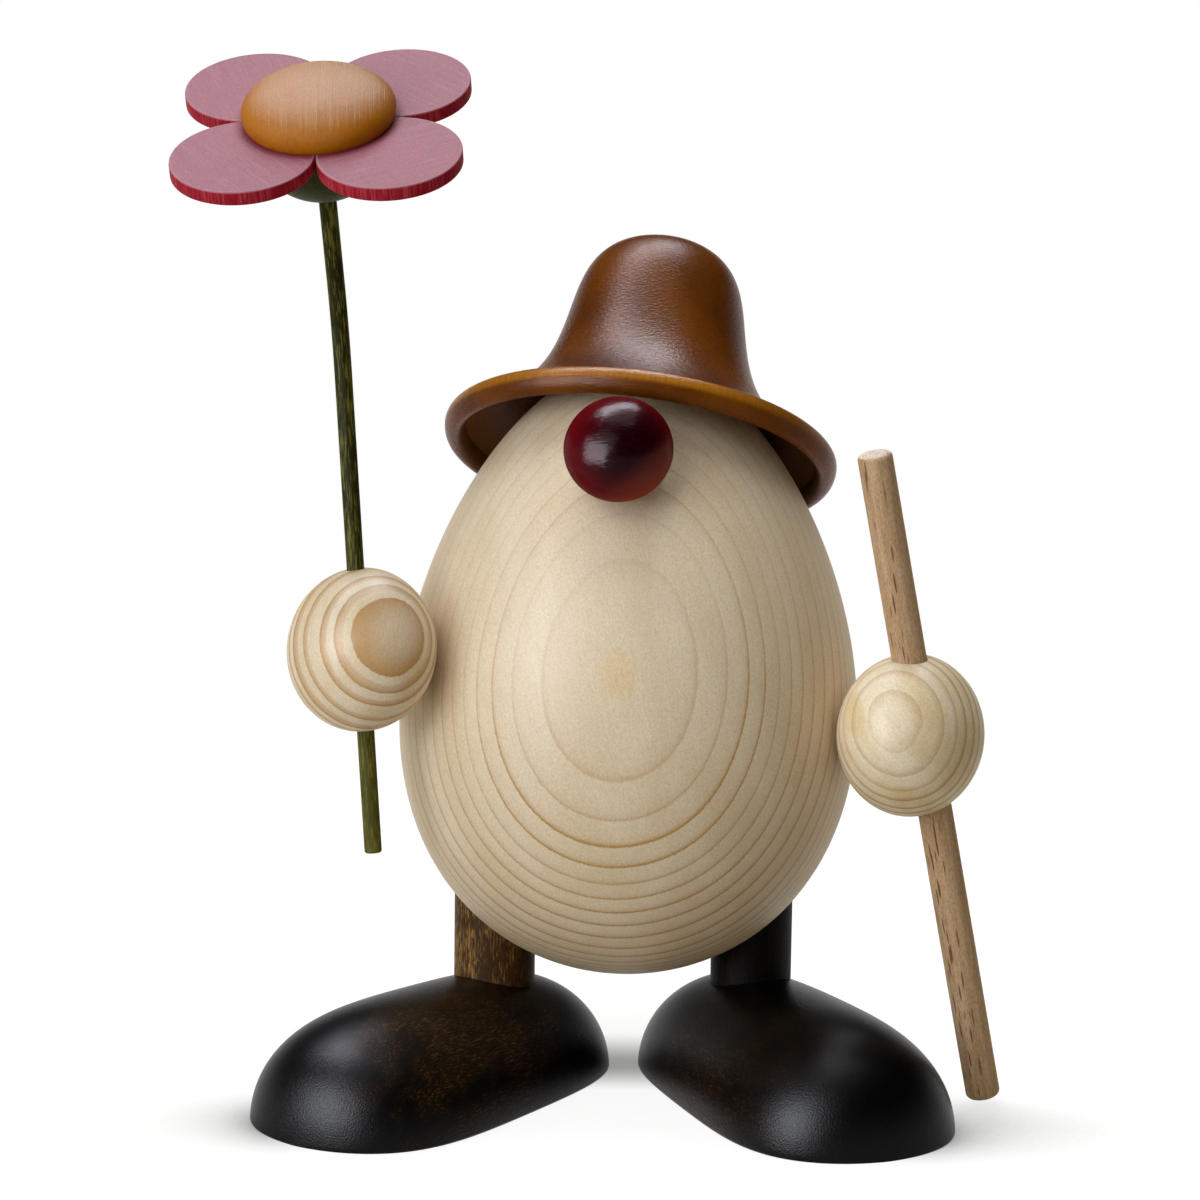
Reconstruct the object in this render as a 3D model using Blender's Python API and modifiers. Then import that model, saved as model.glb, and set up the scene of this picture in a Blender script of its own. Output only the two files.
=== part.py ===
"""Wooden egghead figurine, turned and assembled from separate pieces.

An egg-shaped body stands on two dowel legs in half-ovoid feet. It wears a tilted bell hat, has a ball
for a nose, and holds a flower in its right hand and a walking staff in its left hand.

Metres, +Z up. The figure stands on z = 0 and looks along -Y. Right and left are the figure's own, so
its right side is at -X. Angles are in degrees.
"""

import math

import bmesh
import bpy
from mathutils import Matrix, Vector

# Clearances
REST_GAP = 0.0003       # between two pieces that rest on one another
PEG_GAP = 0.0003        # all round a glued peg or a leg in its hole
SLIDE_GAP = 0.0003      # all round the staff and the stem in the hands
HAT_GAP = 0.0003        # between the hat's hollow and the body, where they are closest
TIP_GAP = 0.0005        # under the staff's tip
NOSE_TO_BRIM = 0.00355  # between the nose and the hat's brim
FEET_GAP = 0.00517      # between the inner sides of the feet, across the figure

# Body: an egg whose half-width is sin(t) * (middle - taper * cos(t)), with t running from top to bottom
EGG_HEIGHT = 0.1090
EGG_MIDDLE_WIDTH = 0.0796
EGG_TAPER = 0.0072
BODY_LIFT = 0.0197      # from the floor to the egg's lowest point
BODY_SHIFT = -0.0006    # sideways, from halfway between the legs
BODY_LEAN = 1.1         # to the figure's left

# Legs, straight up from the feet into the body
LEG_DIAMETER = 0.0144
LEG_STAGGER = 0.0009    # the right leg stands this much forward and the left leg as much back
LEG_TOP = 0.0460        # height of the upper end, inside the egg
LEG_BOTTOM = 0.0060     # height of the lower end, inside the foot
LEG_CHAMFER = 0.0008

# Feet: half of a turned ovoid, lying on its cut face
FOOT_LENGTH = 0.0783
FOOT_WIDTH = 0.0410     # at half length
FOOT_HEIGHT = 0.0194    # at half length
FOOT_TOE_SWELL = 0.0017
FOOT_FULLNESS = 0.0091
FOOT_EDGE = 0.0006      # rounding of the sole's edge
LEG_FROM_HEEL = 0.0226
RIGHT_TOE_OUT = 35.1
LEFT_TOE_OUT = 23.0

# Hat: a bell on a round-edged brim
HAT_BRIM_DIAMETER = 0.0698
HAT_BEAD = 0.0039       # thickness of the brim's rounded edge
HAT_HEIGHT = 0.0389     # from the middle of the edge to the top
HAT_CROWN_DIAMETER = 0.0298
HAT_CROWN_SQUARENESS = 7.3
HAT_CROWN_ROUNDING = 0.447
HAT_FLARE_LENGTH = 0.00905
HAT_FLARE_POWER = 1.06
HAT_BRIM_RISE = 0.0034  # where the brim's top face meets the flare
HAT_WALL = 0.0026
HAT_HOLLOW_DEPTH = 0.0155
HAT_HOLLOW_SQUARENESS = 6.0
HAT_PIVOT_HEIGHT = 0.0763   # where the hat's axis crosses the body, above the egg's lowest point
HAT_PIVOT_SIDE = -0.0012
HAT_TILT_BACK = 27.9
HAT_TILT_SIDE = 6.4

# Nose: a slightly flattened ball
NOSE_DIAMETER = 0.0185
NOSE_LENGTH = 0.0150
NOSE_TURN = -6.6        # from straight ahead, towards the figure's left

# Hands: slightly flattened balls, pegged to the body's sides
HAND_DIAMETER = 0.0281
HAND_LENGTH = 0.0250
RIGHT_HAND_HEIGHT = 0.0582
RIGHT_HAND_TURN = -63.4
LEFT_HAND_HEIGHT = 0.0479
LEFT_HAND_TURN = 65.9

# Pegs that join the nose, the hands and the hat to the body
PEG_DIAMETER = 0.0040
PEG_IN_BODY = 0.0080
PEG_IN_NOSE = 0.0060
PEG_IN_HAND = 0.0050
PEG_IN_HAT = 0.0090
PEG_CHAMFER = 0.0005

# Staff, held in the left hand
STAFF_DIAMETER = 0.0060
STAFF_LENGTH = 0.1184
STAFF_ROUNDING = 0.0007
STAFF_LEAN_SIDE = -11.2     # the top leans to the figure's right
STAFF_LEAN_FORWARD = 6.0
STAFF_OUTSET = 0.0018       # the staff passes this far outside the hand's centre

# Flower stem, held in the right hand: straight, bent forward once, straight again
STEM_DIAMETER = 0.0030
STEM_LEAN_SIDE = -4.0
STEM_LEAN_FORWARD = -3.5
STEM_BELOW_HAND = 0.0352
STEM_ABOVE_HAND = 0.0546    # up to the bend's corner
STEM_NECK = 0.0376          # from the bend's corner to the calyx's top face
STEM_BEND_REACH = 0.0090    # how far from its corner the bend starts and ends

# Flower
FLOWER_TILT_FORWARD = 24.8
FLOWER_TILT_SIDE = -3.9
FLOWER_SPIN = -2.9
CALYX_DIAMETER = 0.0232
CALYX_DEPTH = 0.0112
STEM_IN_CALYX = 0.0070
PETAL_DIAMETER = 0.0236
PETAL_THICKNESS = 0.0025
PETAL_EDGE = 0.0003
CENTRE_DIAMETER = 0.0255
CENTRE_HEIGHT = 0.0076
CENTRE_FOOT = 0.0016        # height of its widest part above the petals

# Smoothness of the turned pieces, in steps round and in steps along the outline
EGG_STEPS = 48
EGG_RINGS = 28
HAT_STEPS = 48
HAT_RINGS = 20
HOLLOW_RINGS = 9
BEAD_STEPS = 10
FOOT_STEPS = 18
FOOT_RINGS = 24
BALL_STEPS = 32
BALL_RINGS = 14
DISC_STEPS = 40
DOME_RINGS = 6
DOWEL_STEPS = 24
STEM_POINTS = 8             # in the bend


# Outlines, as (radius, height) points that run down the outer side

def egg_half_width(t):
    return math.sin(t) * (EGG_MIDDLE_WIDTH / 2 - EGG_TAPER * math.cos(t))


def egg_height(t):
    """Height above the egg's lowest point."""
    return EGG_HEIGHT / 2 * (1 + math.cos(t))


def egg_outline():
    points = []
    for i in range(EGG_RINGS + 1):
        t = math.pi * i / EGG_RINGS
        points.append((egg_half_width(t), egg_height(t)))
    return closed_on_axis(points)


def ball_outline(diameter, length):
    points = []
    for i in range(BALL_RINGS + 1):
        t = math.pi * i / BALL_RINGS
        points.append((diameter / 2 * math.sin(t), length / 2 * math.cos(t)))
    return closed_on_axis(points)


def foot_half_width(t):
    """Half-width of the whole ovoid, with t running from the heel to the toe."""
    c = math.cos(t)
    return math.sin(t) * (FOOT_WIDTH / 2 - FOOT_TOE_SWELL * c + FOOT_FULLNESS * c * c)


def foot_along(t):
    """Place along the foot, from the leg's axis towards the toe."""
    return FOOT_LENGTH / 2 * (1 - math.cos(t)) - LEG_FROM_HEEL


def foot_section(t):
    """Across the foot, from one edge of the sole over the top to the other, as (across, up) points."""
    half_width = foot_half_width(t)
    height = half_width * FOOT_HEIGHT / (FOOT_WIDTH / 2)
    edge = min(FOOT_EDGE, height / 4)
    start = math.asin(edge / height)
    points = [(edge - half_width, 0)]
    for i in range(FOOT_STEPS + 1):
        angle = start + (math.pi - 2 * start) * i / FOOT_STEPS
        points.append((-half_width * math.cos(angle), height * math.sin(angle)))
    return points + [(half_width - edge, 0)]


def bead_centre():
    return HAT_BRIM_DIAMETER / 2 - HAT_BEAD / 2


def hat_radius(height):
    """Radius of the bell at a height above the middle of the brim's edge."""
    crown = (1 - (height / HAT_HEIGHT) ** HAT_CROWN_SQUARENESS) ** HAT_CROWN_ROUNDING
    flare = bead_centre() - HAT_CROWN_DIAMETER / 2
    fall = math.exp(-((height / HAT_FLARE_LENGTH) ** HAT_FLARE_POWER))
    return (HAT_CROWN_DIAMETER / 2 + flare * fall) * crown


def hollow_radius(height):
    """Radius of the hat's hollow, which is wide open below the brim's edge."""
    bead = HAT_BEAD / 2
    if height <= -bead:
        return math.inf
    if height < 0:
        return bead_centre() - math.sqrt(bead * bead - height * height)
    if height >= HAT_HOLLOW_DEPTH:
        return 0.0
    closing = math.sqrt(1 - (height / HAT_HOLLOW_DEPTH) ** HAT_HOLLOW_SQUARENESS)
    return (hat_radius(height) - HAT_WALL) * closing


def hat_outline():
    bead = HAT_BEAD / 2
    points = []
    for i in range(HAT_RINGS):
        height = HAT_BRIM_RISE + (HAT_HEIGHT - HAT_BRIM_RISE) * math.cos(math.pi / 2 * i / HAT_RINGS)
        points.append((hat_radius(height), height))
    points.append((hat_radius(HAT_BRIM_RISE), HAT_BRIM_RISE))
    for i in range(BEAD_STEPS + 1):
        angle = math.radians(80 - 260 * i / BEAD_STEPS)
        points.append((bead_centre() + bead * math.cos(angle), bead * math.sin(angle)))
    for i in range(HOLLOW_RINGS + 1):
        height = HAT_HOLLOW_DEPTH * math.sin(math.pi / 2 * i / HOLLOW_RINGS)
        points.append((hollow_radius(height), height))
    return closed_on_axis(points)


def dowel_outline(diameter, top, bottom, chamfer):
    radius = diameter / 2
    return [(0, top), (radius - chamfer, top), (radius, top - chamfer),
            (radius, bottom + chamfer), (radius - chamfer, bottom), (0, bottom)]


def staff_outline():
    """A dowel with rounded ends, with its lower end at zero."""
    radius = STAFF_DIAMETER / 2
    upper = []
    for i in range(4):
        angle = math.pi / 2 * (1 - i / 3)
        inset = STAFF_ROUNDING * (1 - math.cos(angle))
        upper.append((radius - inset, STAFF_ROUNDING * (1 - math.sin(angle))))
    points = [(0, STAFF_LENGTH)] + [(r, STAFF_LENGTH - drop) for r, drop in upper]
    return points + [(r, drop) for r, drop in reversed(upper)] + [(0, 0)]


def calyx_outline():
    points = [(0, 0)]
    for i in range(DOME_RINGS + 1):
        t = math.pi / 2 * i / DOME_RINGS
        points.append((CALYX_DIAMETER / 2 * math.cos(t), -CALYX_DEPTH * math.sin(t)))
    return closed_on_axis(points)


def petal_outline():
    radius = PETAL_DIAMETER / 2
    top = PETAL_THICKNESS
    return [(0, top), (radius - PETAL_EDGE, top), (radius, top - PETAL_EDGE),
            (radius, PETAL_EDGE), (radius - PETAL_EDGE, 0), (0, 0)]


def centre_outline():
    """A button with its widest part a little above its flat foot."""
    rise = CENTRE_HEIGHT - CENTRE_FOOT
    start = math.asin(min(0.9, CENTRE_FOOT / rise))
    points = []
    for i in range(DOME_RINGS + 4):
        t = math.pi / 2 - (math.pi / 2 + start) * i / (DOME_RINGS + 3)
        points.append((CENTRE_DIAMETER / 2 * math.cos(t), CENTRE_FOOT + rise * math.sin(t)))
    points[-1] = (points[-1][0], 0.0)
    return closed_on_axis(points + [(0, 0)])


def closed_on_axis(points):
    """The same outline with both ends exactly on the axis."""
    return [(0.0, points[0][1])] + list(points[1:-1]) + [(0.0, points[-1][1])]


# Places

def tilt(forward, side):
    """Rotation that tips the Z axis forward, towards -Y, and then sideways, towards +X."""
    return Matrix.Rotation(math.radians(side), 4, "Y") @ Matrix.Rotation(math.radians(forward), 4, "X")


def lean(forward, side):
    """Rotation that gives the Z axis these two leans, each as seen in its own upright plane."""
    axis = Vector((math.tan(math.radians(side)), -math.tan(math.radians(forward)), 1)).normalized()
    return Vector((0, 0, 1)).rotation_difference(axis).to_matrix().to_4x4()


def body_place():
    """The egg's lowest point, with Z along the egg's axis."""
    return Matrix.Translation((BODY_SHIFT, 0, BODY_LIFT)) @ Matrix.Rotation(math.radians(BODY_LEAN), 4, "Y")


def seat_place(height, turn):
    """A point on the egg's surface, with Z square to the surface and outward."""
    t = math.acos(2 * height / EGG_HEIGHT - 1)
    step = 0.0001
    across = egg_half_width(t + step) - egg_half_width(t - step)
    down = egg_height(t - step) - egg_height(t + step)
    slope = Vector((down, across)).normalized()
    ahead = Vector((math.sin(math.radians(turn)), -math.cos(math.radians(turn)), 0))
    point = ahead * egg_half_width(t) + Vector((0, 0, height))
    outward = ahead * slope.x + Vector((0, 0, slope.y))
    facing = outward.to_track_quat("Z", "Y").to_matrix().to_4x4()
    return body_place() @ Matrix.Translation(point) @ facing


def ball_place(height, turn, length):
    """The centre of a ball that rests on the egg's surface."""
    return seat_place(height, turn) @ Matrix.Translation((0, 0, REST_GAP + length / 2))


def hat_place():
    """The middle of the brim, with the hat as low on the egg as its hollow lets it sit."""
    pivot = body_place() @ Matrix.Translation((HAT_PIVOT_SIDE, 0, HAT_PIVOT_HEIGHT))
    axis = pivot @ tilt(-HAT_TILT_BACK, HAT_TILT_SIDE)
    egg_in_hat = axis.inverted() @ body_place()
    surface = []
    for i in range(1, 90):
        t = math.pi / 2 * i / 90 * 1.2
        for j in range(72):
            turn = math.tau * j / 72
            point = Vector((math.cos(turn), math.sin(turn), 0)) * egg_half_width(t)
            point.z = egg_height(t)
            point = egg_in_hat @ point
            surface.append((math.hypot(point.x, point.y), point.z))
    low, high = 0.0, EGG_HEIGHT
    for _ in range(30):
        rise = (low + high) / 2
        clear = all(radius + HAT_GAP <= hollow_radius(height - rise) for radius, height in surface)
        low, high = (low, rise) if clear else (rise, high)
    return axis @ Matrix.Translation((0, 0, high))


def brim_gap(nose_in_hat):
    """The smallest gap from the nose to the brim's edge, below zero where the nose is above the edge."""
    smallest = math.inf
    for i in range(1, 36):
        t = math.pi * i / 36
        for j in range(72):
            turn = math.tau * j / 72
            across = NOSE_DIAMETER / 2 * math.sin(t)
            point = Vector((across * math.cos(turn), across * math.sin(turn), NOSE_LENGTH / 2 * math.cos(t)))
            point = nose_in_hat @ point
            gap = math.hypot(math.hypot(point.x, point.y) - bead_centre(), point.z) - HAT_BEAD / 2
            smallest = min(smallest, gap if point.z < 0 else -gap)
    return smallest


def nose_height():
    """Height of the nose's seat on the egg, as high as the brim lets it be."""
    in_hat = hat_place().inverted()
    low, high = EGG_HEIGHT / 2, EGG_HEIGHT
    for _ in range(30):
        height = (low + high) / 2
        clear = brim_gap(in_hat @ ball_place(height, NOSE_TURN, NOSE_LENGTH)) >= NOSE_TO_BRIM
        low, high = (height, high) if clear else (low, height)
    return low


def inner_reach(toe_out):
    """How far a foot reaches past its leg's axis, towards the other foot."""
    turn = math.radians(toe_out)
    reach = 0
    for i in range(181):
        t = math.pi * i / 180
        reach = max(reach, foot_half_width(t) * math.cos(turn) - foot_along(t) * math.sin(turn))
    return reach


def leg_spacing():
    return FEET_GAP + inner_reach(RIGHT_TOE_OUT) + inner_reach(LEFT_TOE_OUT)


def leg_place(side):
    """The leg's axis on the floor; side is -1 for the right leg and 1 for the left."""
    return Matrix.Translation((side * leg_spacing() / 2, side * LEG_STAGGER, 0))


def foot_place(side, toe_out):
    """The leg's axis on the floor, with X towards the toe."""
    return leg_place(side) @ Matrix.Rotation(math.radians(side * toe_out - 90), 4, "Z")


def right_hand_place():
    return ball_place(RIGHT_HAND_HEIGHT, RIGHT_HAND_TURN, HAND_LENGTH)


def left_hand_place():
    return ball_place(LEFT_HAND_HEIGHT, LEFT_HAND_TURN, HAND_LENGTH)


def staff_place():
    """The staff's lower end, just clear of the floor, with Z up along the staff."""
    turned = lean(STAFF_LEAN_FORWARD, STAFF_LEAN_SIDE)
    axis = turned @ Vector((0, 0, 1))
    through = left_hand_place().translation + Vector((STAFF_OUTSET, 0, 0))
    end_height = TIP_GAP + STAFF_DIAMETER / 2 * math.sqrt(1 - axis.z ** 2)
    foot = through + axis * (end_height - through.z) / axis.z
    return Matrix.Translation(foot) @ turned


def stem_place():
    """The stem's lower end, with Z up along its straight lower part."""
    turned = lean(STEM_LEAN_FORWARD, STEM_LEAN_SIDE)
    through = Matrix.Translation(right_hand_place().translation)
    return through @ turned @ Matrix.Translation((0, 0, -STEM_BELOW_HAND))


def calyx_place():
    """The middle of the calyx's top face, with Z square to the face."""
    corner = stem_place() @ Vector((0, 0, STEM_BELOW_HAND + STEM_ABOVE_HAND))
    turned = tilt(FLOWER_TILT_FORWARD, FLOWER_TILT_SIDE)
    return Matrix.Translation(corner) @ turned @ Matrix.Translation((0, 0, STEM_NECK))


def stem_route():
    """Points of the stem's middle line: straight, a smooth bend, straight into the calyx."""
    start = stem_place().translation
    up = (stem_place().to_3x3() @ Vector((0, 0, 1))).normalized()
    corner = start + up * (STEM_BELOW_HAND + STEM_ABOVE_HAND)
    out = (calyx_place().to_3x3() @ Vector((0, 0, 1))).normalized()
    end = calyx_place() @ Vector((0, 0, -CALYX_DEPTH + STEM_IN_CALYX))
    first = corner - up * STEM_BEND_REACH
    last = corner + out * STEM_BEND_REACH
    bend = []
    for i in range(STEM_POINTS + 1):
        f = i / STEM_POINTS
        bend.append(first * (1 - f) ** 2 + corner * 2 * f * (1 - f) + last * f * f)
    return [start, start.lerp(first, 0.5)] + bend + [last.lerp(end, 0.5), end]


# Building helpers

def clear_scene():
    for item in list(bpy.data.objects):
        bpy.data.objects.remove(item, do_unlink=True)


def new_collection(name):
    collection = bpy.data.collections.new(name)
    bpy.context.scene.collection.children.link(collection)
    return collection


def new_material(name, colour, roughness):
    material = bpy.data.materials.new(name)
    material.use_nodes = True
    shader = material.node_tree.nodes["Principled BSDF"]
    shader.inputs["Base Color"].default_value = (*colour, 1)
    shader.inputs["Roughness"].default_value = roughness
    shader.inputs["Metallic"].default_value = 0
    material.diffuse_color = (*colour, 1)
    return material


def add_object(name, data, place, collection, parent):
    item = bpy.data.objects.new(name, data)
    collection.objects.link(item)
    item.parent = parent
    item.matrix_basis = place
    return item


def outline_mesh(name, points):
    mesh = bpy.data.meshes.new(name)
    edges = [(i, i + 1) for i in range(len(points) - 1)]
    mesh.from_pydata([(radius, 0, height) for radius, height in points], edges, [])
    return mesh


def add_turned(name, points, steps, place, material, figure):
    """A piece turned from its outline about its own Z axis."""
    item = add_object(name, outline_mesh(name, points), place, figure["parts"], figure["root"])
    item.data.materials.append(material)
    screw = item.modifiers.new("turned", "SCREW")
    screw.axis = "Z"
    screw.angle = math.tau
    screw.steps = steps
    screw.render_steps = steps
    screw.use_merge_vertices = True
    screw.merge_threshold = 0.00001
    screw.use_smooth_shade = True
    return item


def add_hole(name, piece, place, radius, low, high, steps, figure):
    """Cut a round hole along the Z axis of a place, from low to high."""
    mesh = bpy.data.meshes.new(name)
    shape = bmesh.new()
    bmesh.ops.create_cone(shape, cap_ends=True, segments=steps, radius1=radius, radius2=radius, depth=high - low)
    bmesh.ops.translate(shape, verts=shape.verts, vec=(0, 0, (low + high) / 2))
    shape.to_mesh(mesh)
    shape.free()
    cutter = add_object(name, mesh, place, figure["cutters"], figure["root"])
    cutter.hide_render = True
    cutter.display_type = "WIRE"
    cut = piece.modifiers.new(name, "BOOLEAN")
    cut.operation = "DIFFERENCE"
    cut.solver = "EXACT"
    cut.object = cutter
    return cutter


def add_peg(name, place, inside, outside, material, figure):
    """A chamfered peg along the Z axis of a place, from inside the body out into a piece."""
    outline = dowel_outline(PEG_DIAMETER, outside, -inside, PEG_CHAMFER)
    return add_turned(name, outline, DOWEL_STEPS, place, material, figure)


def add_peg_holes(name, body, piece, place, inside, outside, mouth, figure):
    """The two holes that a peg needs; the mouth reaches past the curved surfaces."""
    radius = PEG_DIAMETER / 2 + PEG_GAP
    add_hole(name + "_hole_in_body", body, place, radius, -inside - PEG_GAP, mouth, DOWEL_STEPS, figure)
    add_hole(name + "_hole_in_piece", piece, place, radius, -mouth, outside + PEG_GAP, DOWEL_STEPS, figure)


# Pieces

def make_materials():
    return {
        "pale_wood": new_material("pale_wood", (0.72, 0.58, 0.39), 0.45),
        "peg_wood": new_material("peg_wood", (0.55, 0.40, 0.24), 0.6),
        "hat_stain": new_material("hat_stain", (0.14, 0.045, 0.012), 0.35),
        "nose_lacquer": new_material("nose_lacquer", (0.10, 0.008, 0.015), 0.25),
        "leg_stain": new_material("leg_stain", (0.07, 0.035, 0.015), 0.5),
        "foot_stain": new_material("foot_stain", (0.015, 0.010, 0.008), 0.35),
        "staff_wood": new_material("staff_wood", (0.46, 0.29, 0.16), 0.55),
        "stem_stain": new_material("stem_stain", (0.075, 0.085, 0.03), 0.6),
        "calyx_stain": new_material("calyx_stain", (0.07, 0.09, 0.035), 0.5),
        "petal_stain": new_material("petal_stain", (0.45, 0.10, 0.16), 0.6),
        "centre_stain": new_material("centre_stain", (0.60, 0.25, 0.06), 0.5),
    }


def make_body(stains, figure):
    return add_turned("egg_body", egg_outline(), EGG_STEPS, body_place(), stains["pale_wood"], figure)


def make_leg(name, side, body, stains, figure):
    outline = dowel_outline(LEG_DIAMETER, LEG_TOP, LEG_BOTTOM, LEG_CHAMFER)
    add_turned(name, outline, DOWEL_STEPS + 12, leg_place(side), stains["leg_stain"], figure)
    radius = LEG_DIAMETER / 2 + PEG_GAP
    add_hole(name + "_hole_in_body", body, leg_place(side), radius, 0, LEG_TOP + PEG_GAP, DOWEL_STEPS + 12, figure)


def half_ovoid_mesh(name):
    """The foot's sections joined into one closed shape, with a point at the heel and one at the toe."""
    points = []
    for i in range(1, FOOT_RINGS):
        t = math.pi * i / FOOT_RINGS
        points += [(foot_along(t), across, up) for across, up in foot_section(t)]
    heel = len(points)
    toe = heel + 1
    points += [(foot_along(0), 0, 0), (foot_along(math.pi), 0, 0)]
    count = FOOT_STEPS + 3
    last = count * (FOOT_RINGS - 2)
    faces = []
    for i in range(count):
        j = (i + 1) % count
        faces += [(heel, j, i), (toe, last + i, last + j)]
        faces += [(start + i, start + j, start + count + j, start + count + i) for start in range(0, last, count)]
    mesh = bpy.data.meshes.new(name)
    mesh.from_pydata(points, [], faces)
    mesh.shade_smooth()
    mesh.set_sharp_from_angle(angle=math.radians(40))
    return mesh


def make_foot(name, side, toe_out, stains, figure):
    place = foot_place(side, toe_out)
    foot = add_object(name, half_ovoid_mesh(name), place, figure["parts"], figure["root"])
    foot.data.materials.append(stains["foot_stain"])
    radius = LEG_DIAMETER / 2 + PEG_GAP
    add_hole(name + "_leg_hole", foot, place, radius, LEG_BOTTOM - PEG_GAP, LEG_TOP, DOWEL_STEPS + 12, figure)


def make_hat(body, stains, figure):
    hat = add_turned("hat", hat_outline(), HAT_STEPS, hat_place(), stains["hat_stain"], figure)
    seat = hat_place() @ Matrix.Translation((0, 0, HAT_HOLLOW_DEPTH))
    inside = HAT_HOLLOW_DEPTH - egg_top_in_hat() + PEG_IN_BODY
    add_peg("hat_peg", seat, inside, PEG_IN_HAT, stains["peg_wood"], figure)
    add_peg_holes("hat_peg", body, hat, seat, inside, PEG_IN_HAT, HAT_HOLLOW_DEPTH, figure)


def egg_top_in_hat():
    """Height above the brim's middle at which the hat's axis comes out of the egg."""
    hat_in_body = body_place().inverted() @ hat_place()
    low, high = -HAT_BEAD, HAT_HOLLOW_DEPTH
    for _ in range(30):
        height = (low + high) / 2
        point = hat_in_body @ Vector((0, 0, height))
        level = max(-1.0, min(1.0, 2 * point.z / EGG_HEIGHT - 1))
        inside_egg = math.hypot(point.x, point.y) < egg_half_width(math.acos(level))
        low, high = (height, high) if inside_egg else (low, height)
    return low


def make_nose(body, stains, figure):
    height = nose_height()
    place = ball_place(height, NOSE_TURN, NOSE_LENGTH)
    outline = ball_outline(NOSE_DIAMETER, NOSE_LENGTH)
    nose = add_turned("nose", outline, BALL_STEPS, place, stains["nose_lacquer"], figure)
    seat = seat_place(height, NOSE_TURN)
    add_peg("nose_peg", seat, PEG_IN_BODY, PEG_IN_NOSE, stains["peg_wood"], figure)
    add_peg_holes("nose_peg", body, nose, seat, PEG_IN_BODY, PEG_IN_NOSE, PEG_IN_NOSE / 2, figure)


def make_hand(name, height, turn, body, stains, figure):
    place = ball_place(height, turn, HAND_LENGTH)
    outline = ball_outline(HAND_DIAMETER, HAND_LENGTH)
    hand = add_turned(name, outline, BALL_STEPS, place, stains["pale_wood"], figure)
    seat = seat_place(height, turn)
    add_peg(name + "_peg", seat, PEG_IN_BODY, PEG_IN_HAND, stains["peg_wood"], figure)
    add_peg_holes(name + "_peg", body, hand, seat, PEG_IN_BODY, PEG_IN_HAND, PEG_IN_HAND / 2, figure)
    return hand


def make_staff(hand, stains, figure):
    add_turned("staff", staff_outline(), DOWEL_STEPS, staff_place(), stains["staff_wood"], figure)
    radius = STAFF_DIAMETER / 2 + SLIDE_GAP
    add_hole("staff_hole", hand, staff_place(), radius, 0, STAFF_LENGTH, DOWEL_STEPS, figure)


def make_stem(hand, stains, figure):
    curve = bpy.data.curves.new("flower_stem", "CURVE")
    curve.dimensions = "3D"
    curve.bevel_depth = STEM_DIAMETER / 2
    curve.bevel_resolution = 3
    curve.use_fill_caps = True
    route = stem_route()
    line = curve.splines.new("POLY")
    line.points.add(len(route) - 1)
    place = stem_place()
    for point, where in zip(line.points, route):
        point.co = (*(place.inverted() @ where), 1)
    curve.materials.append(stains["stem_stain"])
    add_object("flower_stem", curve, place, figure["parts"], figure["root"])
    radius = STEM_DIAMETER / 2 + SLIDE_GAP
    add_hole("stem_hole", hand, place, radius, 0, STEM_BELOW_HAND + STEM_ABOVE_HAND, DOWEL_STEPS, figure)


def make_flower(stains, figure):
    place = calyx_place()
    calyx = add_turned("calyx", calyx_outline(), BALL_STEPS, place, stains["calyx_stain"], figure)
    radius = STEM_DIAMETER / 2 + PEG_GAP
    top = -CALYX_DEPTH + STEM_IN_CALYX + PEG_GAP
    add_hole("calyx_hole", calyx, place, radius, -2 * CALYX_DEPTH, top, DOWEL_STEPS, figure)
    spun = place @ Matrix.Rotation(math.radians(FLOWER_SPIN), 4, "Z")
    reach = PETAL_DIAMETER / 2 + REST_GAP / 2
    for name, x, y in (("petal_front_right", -1, -1), ("petal_front_left", 1, -1),
                       ("petal_back_right", -1, 1), ("petal_back_left", 1, 1)):
        where = spun @ Matrix.Translation((x * reach, y * reach, REST_GAP))
        add_turned(name, petal_outline(), DISC_STEPS, where, stains["petal_stain"], figure)
    top = place @ Matrix.Translation((0, 0, PETAL_THICKNESS + 2 * REST_GAP))
    add_turned("flower_centre", centre_outline(), DISC_STEPS, top, stains["centre_stain"], figure)


def centre_on_floor(figure):
    """Move the whole figure so that its bounding box stands centred on the origin."""
    bpy.context.view_layer.update()
    depsgraph = bpy.context.evaluated_depsgraph_get()
    xs, ys = [], []
    for item in figure["parts"].objects:
        if item.type == "EMPTY":
            continue
        solid = item.evaluated_get(depsgraph)
        mesh = solid.to_mesh()
        for vertex in mesh.vertices:
            where = solid.matrix_world @ vertex.co
            xs.append(where.x)
            ys.append(where.y)
        solid.to_mesh_clear()
    figure["root"].location = (-(min(xs) + max(xs)) / 2, -(min(ys) + max(ys)) / 2, 0)
    bpy.context.view_layer.update()


def make_figurine():
    clear_scene()
    figure = {"parts": new_collection("egghead_figurine"), "cutters": new_collection("cutters")}
    figure["root"] = bpy.data.objects.new("figurine", None)
    figure["parts"].objects.link(figure["root"])
    stains = make_materials()
    body = make_body(stains, figure)
    make_leg("right_leg", -1, body, stains, figure)
    make_leg("left_leg", 1, body, stains, figure)
    make_foot("right_foot", -1, RIGHT_TOE_OUT, stains, figure)
    make_foot("left_foot", 1, LEFT_TOE_OUT, stains, figure)
    make_hat(body, stains, figure)
    make_nose(body, stains, figure)
    right_hand = make_hand("right_hand", RIGHT_HAND_HEIGHT, RIGHT_HAND_TURN, body, stains, figure)
    left_hand = make_hand("left_hand", LEFT_HAND_HEIGHT, LEFT_HAND_TURN, body, stains, figure)
    make_staff(left_hand, stains, figure)
    make_stem(right_hand, stains, figure)
    make_flower(stains, figure)
    centre_on_floor(figure)


make_figurine()
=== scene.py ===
import math

import bmesh
import bpy
from mathutils import Matrix, Vector


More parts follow.
